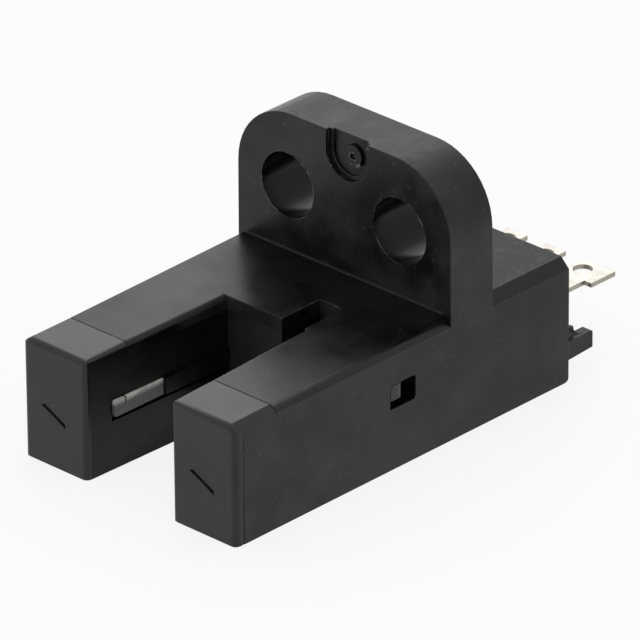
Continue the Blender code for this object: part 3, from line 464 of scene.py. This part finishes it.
def infrared_resin(look):
    """Makes the windows' filter resin, moulded against a polished face: glossy, with a painted highlight along its
    top.
    """
    made, tree, shader = new_material("infrared_filter_resin_polished")
    place = object_millimetres(tree)
    ripple = noise_at(tree, place, look.ripple_size)
    split = add_node(tree, "ShaderNodeSeparateXYZ", (), {"Vector": place}).outputs
    # Painted highlight: the colour turns pale towards the bar's top, patchy with the ripples
    painted_highlight = spread(tree, split["Z"], *PAINTED_HIGHLIGHT_HEIGHTS)
    patchy = add_node(tree, "ShaderNodeMath", {"operation": "MULTIPLY"},
                      {0: painted_highlight, 1: spread(tree, ripple, low=0.3, high=0.6, new_low=0.55)}).outputs[0]
    at_line = add_node(tree, "ShaderNodeMath", {"operation": "COMPARE"},
                       {0: split["Y"], 1: MEETING_LINE[0], 2: MEETING_LINE[1]}).outputs[0]
    line = add_node(tree, "ShaderNodeMath", {"operation": "MULTIPLY"},
                    {0: at_line, 1: spread(tree, split["Z"], *MEETING_HEIGHTS)}).outputs[0]
    clear = blend(tree, patchy, rgba(look.colour), rgba(look.painted_highlight_colour))
    resin = blend(tree, line, clear, rgba(look.line_colour))
    rough = uneven(tree, ripple, look.roughness, more=0.08, low=0.3)
    dress(tree, shader, resin, rough, ripple, look.ripple_depth, {GLOSS: look.gloss})
    return made


def tin_plate(look, name):
    """Makes bright tin, plated over a stamped strip: near white, softly dimpled and duller in patches."""
    made, tree, shader = new_material(name)
    place = object_millimetres(tree)
    stain = noise_at(tree, place, look.dimple_size * 2.0, detail=3.0)
    dimple = noise_at(tree, place, look.dimple_size)
    plating = blend(tree, spread(tree, stain, low=0.45, high=0.7), rgba(look.colour), rgba(look.stain_colour))
    rough = uneven(tree, stain, look.roughness, less=0.05, more=0.12)
    dress(tree, shader, plating, rough, dimple, look.dimple_depth, {"Metallic": 1.0})
    return made


def sheared_strip(look):
    """Makes the sides that the die sheared through the strip: greyer, drawn up and down by the punch."""
    made, tree, shader = new_material("tin_plated_brass_sheared")
    place = object_millimetres(tree)
    drawn = add_node(tree, "ShaderNodeMapping", (), {"Vector": place, "Scale": (1.0, 1.0, DRAWN_SHARE)}).outputs[0]
    streak = noise_at(tree, drawn, look.dimple_size / 3.0, detail=3.0)
    shown = spread(tree, streak, low=0.35, high=0.7)
    side = blend(tree, shown, rgba(look.sheared_colour), rgba(look.stain_colour))
    rough = uneven(tree, streak, look.sheared_roughness, less=0.06, more=0.08)
    dress(tree, shader, side, rough, streak, look.dimple_depth, {"Metallic": 1.0})
    return made


def laminate(look):
    """Makes glass-epoxy board under solder mask: green and satin, with the glass weave just showing."""
    made, tree, shader = new_material("glass_epoxy_laminate_masked")
    place = object_millimetres(tree)
    threads = MM / look.weave_size
    across = add_node(tree, "ShaderNodeTexWave", {"bands_direction": "X"}, {"Vector": place, "Scale": threads})
    along = add_node(tree, "ShaderNodeTexWave", {"bands_direction": "Y"}, {"Vector": place, "Scale": threads})
    weave = add_node(tree, "ShaderNodeMath", {"operation": "MULTIPLY"},
                     {0: across.outputs[1], 1: along.outputs[1]}).outputs[0]
    shown = spread(tree, weave, low=0.2, high=0.9, new_high=0.5)
    mask = blend(tree, shown, rgba(look.mask_colour), rgba(look.mask_colour, times=1.5))
    dress(tree, shader, mask, rough=0.38, height=weave, depth=0.004 * MM)
    return made


def fired_or_moulded(name, colour, grain, roughness):
    """Makes a plain hard skin, such as moulding compound or glazed ceramic, with its own fine grain."""
    made, tree, shader = new_material(name)
    place = object_millimetres(tree)
    speck = noise_at(tree, place, grain, detail=3.0)
    skin = blend(tree, spread(tree, speck, low=0.4, high=0.7), rgba(colour), rgba(colour, times=1.35))
    dress(tree, shader, skin, roughness, height=speck, depth=0.002 * MM)
    return made


def cast_epoxy(name, colour, clearness):
    """Makes cast epoxy: glossy and seen into, with a trace of flow."""
    made, tree, shader = new_material(name)
    place = object_millimetres(tree)
    flow = noise_at(tree, place, size=0.8 * MM, detail=1.0)
    give(tree, shader, {"Base Color": blend(tree, flow, rgba(colour), rgba(colour, times=1.1)), "Roughness": 0.08,
                        "IOR": 1.53, "Transmission Weight": clearness})
    return made


def close_seams(bm):
    """Brings the cover's faces to the case, so that only a hairline is left between them."""
    for axis, place, shift in COVER_SEAMS:
        for vert in bm.verts:
            if abs(getattr(vert.co, axis) - place * MM) < ON_PLANE:
                setattr(vert.co, axis, (place + shift) * MM)


def ready_cover(bm):
    """Closes the cover's seams, and sinks the line under each slot wall's rib."""
    close_seams(bm)
    for normal, place in (((0, 0, 1), GROOVE_HEIGHTS[0]), ((0, 0, 1), GROOVE_HEIGHTS[1]), ((0, 1, 0), GROOVE_START)):
        walls = [face for face in bm.faces if in_slot_wall(face)]
        edges = [edge for face in walls for edge in face.edges]
        verts = [vert for face in walls for vert in face.verts]
        bmesh.ops.bisect_plane(bm, geom=list(dict.fromkeys(walls + edges + verts)), dist=WELD,
                               plane_co=Vector(normal) * place * MM, plane_no=normal)
    band = [face for face in bm.faces if in_slot_wall(face)
            and GROOVE_HEIGHTS[0] < face.calc_center_median().z / MM < GROOVE_HEIGHTS[1]
            and face.calc_center_median().y / MM > GROOVE_START]
    bmesh.ops.inset_region(bm, faces=band, thickness=GROOVE_SIDE * MM, depth=-GROOVE_DEPTH * MM,
                           use_even_offset=True)


def in_slot_wall(face):
    """Says whether a face is part of one of the slot's two side walls."""
    centre = face.calc_center_median() / MM
    return abs(face.normal.x) > FLAT_ALONG and face.normal.x * centre.x < 0 and abs(centre.x) < SLOT_HALF


def deepen_gate(bm):
    """Sets the two floors of the gate recess deeper, by the rounding that their edges lose."""
    half, low = GATE_REGION
    for place, shift in GATE_FLOORS:
        for vert in bm.verts:
            inside = abs(vert.co.x) < half * MM and vert.co.z > low * MM
            if inside and abs(vert.co.y - place * MM) < ON_PLANE:
                vert.co.y = (place + shift) * MM


def in_hidden_joint(edge):
    """Says whether an edge runs along a joint where none shows."""
    first, second = (vert.co.z / MM for vert in edge.verts)
    return any(abs(first - place) < JOINT_REACH and abs(second - place) < JOINT_REACH for place in HIDDEN_JOINTS)


def in_rib(edge):
    """Says whether an edge is one of a slot wall's rib or of the line under it, which stay crisp."""
    ends = [vert.co / MM for vert in edge.verts]
    return all(abs(end.x) < SLOT_HALF and RIB_HEIGHTS[0] < end.z < RIB_HEIGHTS[1] for end in ends)


def in_hole_rim(edge):
    """Says whether an edge is part of a screw hole's front rim, which the burrs cover."""
    for vert in edge.verts:
        end = vert.co / MM
        from_middle = math.hypot(abs(end.x) - HOLE_PLACE[0], end.z - HOLE_PLACE[1])
        if abs(end.y - FLANGE_FACES[0]) >= JOINT_REACH or abs(from_middle - HOLE_RADIUS) >= RIM_REACH:
            return False
    return True


def weigh_edges(bm, radius, crisp):
    """Gives each sharp edge its share of the radius: all of it, or less where a neighbour is short."""
    layer = bm.edges.layers.float.new("bevel_weight_edge")
    for edge in bm.edges:
        if not edge.is_manifold or edge.calc_face_angle() < EDGE_ANGLE:
            continue
        if not edge.is_convex or in_hidden_joint(edge) or (crisp and crisp(edge)):
            edge.smooth = False
            continue
        shortest = min(other.calc_length() for vert in edge.verts for other in vert.link_edges)
        edge[layer] = min(1.0, EDGE_SHARE * shortest / radius)


def softened_copy(node, name, radius, finishes, choose=None, prepare=None, crisp=None):
    """Copies a node's solid as a new piece, welds its loose triangles and rounds its edges.

    The first finish is the skin's and the second the rounded edges'. Choose gives a face another one, prepare
    changes the solid first, and crisp says which edges aren't rounded. Nothing goes past the node's own box.
    """
    bm = bmesh.new()
    bm.from_mesh(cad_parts[node].data)
    bmesh.ops.remove_doubles(bm, verts=bm.verts[:], dist=WELD)
    if prepare:
        prepare(bm)
        bmesh.ops.remove_doubles(bm, verts=bm.verts[:], dist=WELD)
    bmesh.ops.dissolve_limit(bm, angle_limit=FLAT_ANGLE, verts=bm.verts[:], edges=bm.edges[:])
    for face in bm.faces:
        face.smooth = True
        face.material_index = choose(face) if choose else SKIN
    for edge in bm.edges:
        edge.smooth = True
    weigh_edges(bm, radius, crisp)
    mesh = bpy.data.meshes.new(name)
    bm.to_mesh(mesh)
    bm.free()
    for finish in finishes:
        mesh.materials.append(finish)
    piece = bpy.data.objects.new(name, mesh)
    bpy.context.scene.collection.objects.link(piece)
    rounding = piece.modifiers.new("moulded_edges", "BEVEL")
    rounding.width = radius
    rounding.segments = EDGE_STEPS
    rounding.limit_method = "WEIGHT"
    rounding.use_clamp_overlap = False
    # The roundings get the edge finish, whose pale patches are partly painted highlights
    rounding.material = EDGE if len(finishes) > EDGE else NO_FINISH
    make_plain(piece)
    low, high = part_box(node)
    for vert in piece.data.vertices:
        vert.co = [min(max(value, least), most) for value, least, most in zip(vert.co, low, high)]
    settle_normals(piece.data)
    return piece


def smooth_fans(vert):
    """Groups the faces round a point that no sharp edge parts, in the same order each run."""
    left = list(vert.link_faces)
    while left:
        fan = [left.pop(0)]
        for face in fan:
            for edge in face.edges:
                if vert in edge.verts and edge.smooth:
                    joined = [other for other in edge.link_faces if other in left]
                    fan.extend(joined)
                    left = [other for other in left if other not in joined]
        yield fan


def settle_normals(mesh):
    """Lets the large faces at each point set its normal, so that flat faces look flat beside a rounding."""
    bm = bmesh.new()
    bm.from_mesh(mesh)
    corners = {}
    for vert in bm.verts:
        for fan in smooth_fans(vert):
            sizes = [face.calc_area() for face in fan]
            largest = max(sizes)
            normal = Vector()
            for face, size in zip(fan, sizes):
                if size >= LARGE_SHARE * largest:
                    normal += size * face.normal
            for face in fan:
                corners[face.index, vert.index] = normal.normalized()
    normals = [corners[face.index, loop.vert.index] for face in bm.faces for loop in face.loops]
    bm.free()
    mesh.normals_split_custom_set(normals)


def make_plain(piece):
    """Turns a piece with modifiers into a plain mesh."""
    evaluated = piece.evaluated_get(bpy.context.evaluated_depsgraph_get())
    mesh = bpy.data.meshes.new_from_object(evaluated)
    piece.modifiers.clear()
    old = piece.data
    piece.data = mesh
    bpy.data.meshes.remove(old)


def keep(piece, node=None):
    """Has a finished piece ride on the body, in the place of its node where it has one."""
    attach(piece, BODY)
    if node:
        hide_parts(node)


def case_finish(face):
    """Picks a face's finish on the case.

    It tells the bores, the scuffed rear top and flange foot, the dull end of the slot, the streaked top of the rim and
    the sides and the rim's other faces, whose paler finish is painted light, from the rest of the skin.
    """
    centre = face.calc_center_median() / MM
    high = centre.z > CASE_TOP
    in_flange = FLANGE_FACES[0] < centre.y < FLANGE_FACES[1]
    from_hole = abs(abs(centre.x) - HOLE_PLACE[0])
    if (in_flange and from_hole < HOLE_RADIUS + JOINT_REACH and abs(centre.z - HOLE_PLACE[1]) < HOLE_RADIUS
            and abs(face.normal.y) < FACES_ALONG):
        return BORE
    if high and centre.y > FLANGE_FACES[1] and face.normal.z > FLAT_ALONG:
        return SCUFFED
    if high and centre.y < FLANGE_FACES[0] and FOOT_ALONG < face.normal.z < FLAT_ALONG:
        return SCUFFED
    if abs(centre.x) < SLOT_HALF and centre.y < FLANGE_FACES[0] - JOINT_REACH and face.normal.y < -FACES_ALONG:
        return SLOT_END
    on_rim = high and in_flange
    if on_rim and face.normal.z > RIM_ALONG:
        return STREAKED
    # The sides and the rim's other faces get the paler finish: painted light, picked by which way a face looks
    return PAINTED_SIDE_LIGHT if on_rim or abs(face.normal.z) < FACES_ALONG else SKIN


def cover_finish(face):
    """Picks a face's finish on the cover: matt on the slot's side walls, dull at its back, or else the skin's."""
    centre = face.calc_center_median() / MM
    if abs(centre.x) > SLOT_HALF or centre.y < SLOT_START or abs(face.normal.z) > FACES_ALONG:
        return SKIN
    return MATT_WALL if abs(face.normal.x) > FACES_ALONG else DULL_BACK


def blade_finish(face):
    """Tells the sheared sides of a terminal from its two flat faces."""
    return EDGE if abs(face.normal.z) < FACES_ALONG else SKIN


def paint(node, material):
    """Gives a node of the frame a finer material."""
    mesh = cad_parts[node].data
    mesh.materials.clear()
    mesh.materials.append(material)


def nodes_named(start):
    """Gives the names of the frame's nodes that start with a word."""
    return sorted(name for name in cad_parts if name.startswith(start))


def burr_tree():
    """Makes the tree for a ragged ring of torn plastic, on the face that a screw hole or a gate leaves."""
    tree = bpy.data.node_groups.new("burr_ring", "GeometryNodeTree")
    tree.is_modifier = True
    for name, kind in (("Radius", "NodeSocketFloat"), ("Thickness", "NodeSocketFloat"),
                       ("Raggedness", "NodeSocketFloat"), ("Tear size", "NodeSocketFloat"),
                       ("Centre", "NodeSocketVector"), ("Seed", "NodeSocketFloat"), ("Finish", "NodeSocketMaterial")):
        tree.interface.new_socket(name=name, in_out="INPUT", socket_type=kind)
    tree.interface.new_socket(name="Geometry", in_out="OUTPUT", socket_type="NodeSocketGeometry")
    given = add_node(tree, "NodeGroupInput").outputs
    ring = add_node(tree, "GeometryNodeCurvePrimitiveCircle", {"mode": "RADIUS"},
                    {"Resolution": BURR_POINTS, "Radius": given["Radius"]})
    place = add_node(tree, "GeometryNodeInputPosition")
    finer = add_node(tree, "ShaderNodeMath", {"operation": "DIVIDE"}, {0: 1.0, 1: given["Tear size"]})
    torn = add_node(tree, "ShaderNodeTexNoise", {"noise_dimensions": "4D"},
                    {"Vector": place.outputs[0], "W": given["Seed"], "Scale": finer.outputs[0], "Detail": 4.0})
    centred = add_node(tree, "ShaderNodeVectorMath", {"operation": "SUBTRACT"},
                       {0: torn.outputs["Color"], 1: NOISE_MIDDLE})
    strayed = add_node(tree, "ShaderNodeVectorMath", {"operation": "SCALE"},
                       {0: centred.outputs[0], "Scale": given["Raggedness"]})
    moved = add_node(tree, "GeometryNodeSetPosition", (), {"Geometry": ring.outputs[0], "Offset": strayed.outputs[0]})
    share = spread(tree, torn.outputs[0], low=0.42, high=0.64, new_low=0.1)
    thick = add_node(tree, "ShaderNodeMath", {"operation": "MULTIPLY"}, {0: share, 1: given["Thickness"]})
    profile = add_node(tree, "GeometryNodeCurvePrimitiveCircle", {"mode": "RADIUS"},
                       {"Resolution": BURR_SIDES, "Radius": 1.0})
    swept = add_node(tree, "GeometryNodeCurveToMesh", (), {
        "Curve": moved.outputs[0], "Profile Curve": profile.outputs[0], "Scale": thick.outputs[0]})
    stood = add_node(tree, "GeometryNodeTransform", (), {"Geometry": swept.outputs[0],
                                                         "Rotation": (math.pi / 2, 0.0, 0.0),
                                                         "Translation": given["Centre"]})
    real = add_node(tree, "GeometryNodeRealizeInstances", (), {"Geometry": stood.outputs[0]})
    smooth = add_node(tree, "GeometryNodeSetShadeSmooth", (), {"Geometry": real.outputs[0]})
    dressed = add_node(tree, "GeometryNodeSetMaterial", (), {"Geometry": smooth.outputs[0],
                                                             "Material": given["Finish"]})
    add_node(tree, "NodeGroupOutput", (), {"Geometry": dressed.outputs[0]})
    return tree


def burr_ring(tree, name, sizes):
    """Makes one ragged ring from the tree and its named sizes, as a plain mesh."""
    piece = bpy.data.objects.new(name, bpy.data.meshes.new(name))
    bpy.context.scene.collection.objects.link(piece)
    step = piece.modifiers.new(name, "NODES")
    step.node_group = tree
    for item in tree.interface.items_tree:
        if item.in_out == "INPUT":
            step[item.identifier] = sizes[item.name]
    make_plain(piece)
    return piece


class SENSOR_OT_case(bpy.types.Operator):
    """Makes the moulded case with its soft edges"""
    bl_idname = "sensor.case"
    bl_label = "Case"

    def execute(self, context):
        look = context.scene.sensor_case
        finishes = (
            glass_filled_pbt(look, "glass_filled_pbt_moulded", look.cloud_colour, specked=0.66,
                             roughness=look.roughness),
            rubbed_and_highlit_edge(look, "glass_filled_pbt_rubbed_and_highlit", chipped=0.57),
            pin_drawn_bore(look),
            scuffed_pbt(look, "glass_filled_pbt_scuffed", look.scuff_size, SCUFF_GLOSS, look.roughness),
            glass_filled_pbt(look, "glass_filled_pbt_painted_side_light", look.painted_side_light_colour, specked=0.62,
                             roughness=look.roughness + 0.06),
            scuffed_pbt(look, "glass_filled_pbt_streaked", look.streak_size, RIM_GLOSS, look.roughness - 0.02),
            glass_filled_pbt(look, "glass_filled_pbt_dull", look.painted_side_light_colour, specked=0.66,
                             roughness=look.roughness + 0.35))
        shell = softened_copy("case", "case_shell", look.edge, finishes, choose=case_finish, prepare=deepen_gate,
                              crisp=in_hole_rim)
        keep(shell, "case")
        return {"FINISHED"}


class SENSOR_OT_burrs(bpy.types.Operator):
    """Makes the broken ring at the gate and the ragged rims of the screw holes"""
    bl_idname = "sensor.burrs"
    bl_label = "Gate scar and burrs"

    def execute(self, context):
        look = context.scene.sensor_case
        tree = burr_tree()
        torn = rubbed_and_highlit_edge(look, "glass_filled_pbt_torn", chipped=0.43)
        for ring in RINGS:
            piece = burr_ring(tree, ring.name, {
                "Radius": ring.radius * MM, "Thickness": ring.share * getattr(look, ring.size),
                "Raggedness": ring.stray * MM, "Tear size": ring.tear * MM,
                "Centre": [value * MM for value in ring.centre], "Seed": ring.seed, "Finish": torn})
            keep(piece)
        return {"FINISHED"}


class SENSOR_OT_cover(bpy.types.Operator):
    """Makes the slot cover with its tip caps, slot walls and snap tongues"""
    bl_idname = "sensor.cover"
    bl_label = "Slot cover"

    def execute(self, context):
        look = context.scene.sensor_cover
        finishes = (
            black_polycarbonate(look, "black_polycarbonate_moulded", look.gloss, look.roughness),
            rubbed_and_highlit_edge(look, "black_polycarbonate_rubbed_and_highlit", chipped=0.66),
            black_polycarbonate(look, "black_polycarbonate_matt", look.wall_gloss, look.roughness + 0.06),
            black_polycarbonate(look, "black_polycarbonate_dull", look.gloss, look.roughness + 0.3))
        shell = softened_copy("slot_cover", "slot_cover_shell", look.edge, finishes, choose=cover_finish,
                              prepare=ready_cover, crisp=in_rib)
        keep(shell, "slot_cover")
        return {"FINISHED"}


class SENSOR_OT_windows(bpy.types.Operator):
    """Makes the two glossy windows in the slot's walls"""
    bl_idname = "sensor.windows"
    bl_label = "Windows"

    def execute(self, context):
        look = context.scene.sensor_window
        resin = infrared_resin(look)
        for node in ("emitter_window", "receiver_window"):
            bar = softened_copy(node, node + "_bar", look.edge, (resin,))
            keep(bar, node)
        return {"FINISHED"}


class SENSOR_OT_terminals(bpy.types.Operator):
    """Makes the stamped solder terminals with their rounded edges, and gives the leads their tin"""
    bl_idname = "sensor.terminals"
    bl_label = "Terminals and leads"

    def execute(self, context):
        look = context.scene.sensor_terminal
        finishes = (tin_plate(look, "tin_plated_brass_stamped"), sheared_strip(look))
        copper = tin_plate(look, "tin_plated_copper_strip")
        for node in nodes_named("terminal_"):
            blade = softened_copy(node, node + "_blade", look.edge, finishes, choose=blade_finish)
            keep(blade, node)
        for node in nodes_named("emitter_lead_") + nodes_named("receiver_lead_"):
            paint(node, copper)
        return {"FINISHED"}


class SENSOR_OT_inside(bpy.types.Operator):
    """Gives the pieces inside their materials"""
    bl_idname = "sensor.inside"
    bl_label = "Inside"

    def execute(self, context):
        look = context.scene.sensor_inside
        paint("circuit_board", laminate(look))
        paint("amplifier_chip", fired_or_moulded("epoxy_moulding_compound", look.compound_colour,
                                                 grain=0.1 * MM, roughness=0.55))
        glaze = fired_or_moulded("resistor_glaze_fired", look.resistor_colour, grain=0.2 * MM, roughness=0.3)
        paint("emitter_resistor", glaze)
        paint("output_resistor", glaze)
        paint("supply_capacitor", fired_or_moulded("capacitor_ceramic_fired", look.capacitor_colour,
                                                   grain=0.15 * MM, roughness=0.45))
        paint("infrared_emitter", cast_epoxy("clear_epoxy_cast", look.clear_colour, clearness=0.85))
        paint("photo_receiver", cast_epoxy("smoked_epoxy_cast", look.smoke_colour, clearness=0.3))
        return {"FINISHED"}


def camera_place(look):
    """Gives the camera's place and turn from its direction, distance and roll."""
    aim = Vector((look.aim_x, look.aim_y, 0.0))
    turn = (Matrix.Rotation(look.azimuth, 4, "Z") @ Matrix.Rotation(math.pi / 2 - look.elevation, 4, "X")
            @ Matrix.Rotation(look.roll, 4, "Z"))
    back = turn.to_3x3() @ Vector((0.0, 0.0, 1.0))
    return Matrix.Translation(aim + look.distance * back) @ turn


def seen_rays(tree):
    """Gives 1 for the rays that show the white background: to the camera, and in gloss and glass."""
    path = add_node(tree, "ShaderNodeLightPath")
    seen = path.outputs["Is Camera Ray"]
    for other in ("Is Glossy Ray", "Is Transmission Ray"):
        seen = add_node(tree, "ShaderNodeMath", {"operation": "MAXIMUM"}, {0: seen, 1: path.outputs[other]}).outputs[0]
    return seen


def white_room(look):
    """Makes the world: plain white to the eye, and a soft even light on the object."""
    world = bpy.data.worlds.new("white_room")
    world.use_nodes = True
    tree = world.node_tree
    strength = spread(tree, seen_rays(tree), low=0.0, high=1.0, new_low=look.room)
    give(tree, tree.nodes["Background"], {"Strength": strength, "Color": (1.0, 1.0, 1.0, 1.0)})
    return world


def floor_material(look):
    """Makes the pale floor: it takes the object's shadow, and shows mostly white to the eye and to gloss."""
    made = bpy.data.materials.new("studio_floor")
    made.use_nodes = True
    tree = made.node_tree
    tree.nodes.clear()
    paper = add_node(tree, "ShaderNodeBsdfDiffuse", (), {"Color": rgba(look.floor_colour)})
    glow = add_node(tree, "ShaderNodeEmission", (), {"Strength": 1.0})
    share = add_node(tree, "ShaderNodeMath", {"operation": "MULTIPLY"}, {0: seen_rays(tree), 1: look.floor_glow})
    mixer = add_node(tree, "ShaderNodeMixShader", (), {0: share.outputs[0], 1: paper.outputs[0], 2: glow.outputs[0]})
    add_node(tree, "ShaderNodeOutputMaterial", (), {"Surface": mixer.outputs[0]})
    return made


def softbox(name, place, width, height, radiance):
    """Hangs one softbox that faces the object."""
    light = bpy.data.lights.new(name, "AREA")
    light.shape = "RECTANGLE"
    light.size = width
    light.size_y = height
    light.energy = radiance * math.pi * width * height
    lamp = bpy.data.objects.new(name, light)
    bpy.context.scene.collection.objects.link(lamp)
    lamp.location = place
    lamp.rotation_euler = Vector(place).to_track_quat("Z", "Y").to_euler()
    lamp.visible_camera = False


class SENSOR_OT_stage(bpy.types.Operator):
    """Sets the floor, the room, the softboxes and the camera"""
    bl_idname = "sensor.stage"
    bl_label = "Stage"

    def execute(self, context):
        look = context.scene.sensor_stage
        scene = context.scene
        bm = bmesh.new()
        bmesh.ops.create_grid(bm, x_segments=1, y_segments=1, size=FLOOR_HALF)
        mesh = bpy.data.meshes.new("floor")
        bm.to_mesh(mesh)
        bm.free()
        mesh.transform(Matrix.Translation((0.0, 0.0, UNDERSIDE - FLOOR_GAP)))
        floor = bpy.data.objects.new("floor", mesh)
        mesh.materials.append(floor_material(look))
        scene.collection.objects.link(floor)

        scene.world = white_room(look)

        softbox("back_softbox", place=(-0.45, 0.47, 0.42), width=0.9, height=0.5, radiance=look.back_light)
        softbox("top_softbox", place=(0.0, 0.0, 0.7), width=0.6, height=0.6, radiance=look.top_light)

        data = bpy.data.cameras.new("camera")
        data.sensor_width = PICTURE_WIDTH
        data.lens = look.lens
        data.clip_start = NEAREST
        data.clip_end = FURTHEST
        camera = bpy.data.objects.new("camera", data)
        camera.matrix_world = camera_place(look)
        scene.collection.objects.link(camera)
        scene.camera = camera
        scene.view_settings.view_transform = "Standard"
        return {"FINISHED"}


class SENSOR_PT_panel(bpy.types.Panel):
    """Lists the operators in the sidebar"""
    bl_idname = "SENSOR_PT_panel"
    bl_label = "Photo Sensor"
    bl_space_type = "VIEW_3D"
    bl_region_type = "UI"
    bl_category = "Photo Sensor"

    def draw(self, context):
        for operator in OPERATORS:
            self.layout.operator(operator.bl_idname)


LOOKS = {
    "sensor_case": CaseLook,
    "sensor_cover": CoverLook,
    "sensor_window": WindowLook,
    "sensor_terminal": TerminalLook,
    "sensor_inside": InsideLook,
    "sensor_stage": StageLook,
}
OPERATORS = (SENSOR_OT_case, SENSOR_OT_burrs, SENSOR_OT_cover, SENSOR_OT_windows, SENSOR_OT_terminals,
             SENSOR_OT_inside, SENSOR_OT_stage)


def register():
    """Registers the classes and puts each group of settings on the scene."""
    for name, group in LOOKS.items():
        bpy.utils.register_class(group)
        setattr(bpy.types.Scene, name, PointerProperty(type=group))
    for operator in OPERATORS:
        bpy.utils.register_class(operator)
    bpy.utils.register_class(SENSOR_PT_panel)


def unregister():
    """Takes everything off again."""
    bpy.utils.unregister_class(SENSOR_PT_panel)
    for operator in reversed(OPERATORS):
        bpy.utils.unregister_class(operator)
    for name, group in reversed(list(LOOKS.items())):
        delattr(bpy.types.Scene, name)
        bpy.utils.unregister_class(group)


def main():
    """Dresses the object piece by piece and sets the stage."""
    register()
    bpy.ops.sensor.case()
    bpy.ops.sensor.burrs()
    bpy.ops.sensor.cover()
    bpy.ops.sensor.windows()
    bpy.ops.sensor.terminals()
    bpy.ops.sensor.inside()
    bpy.ops.sensor.stage()


if __name__ == "__main__":
    main()
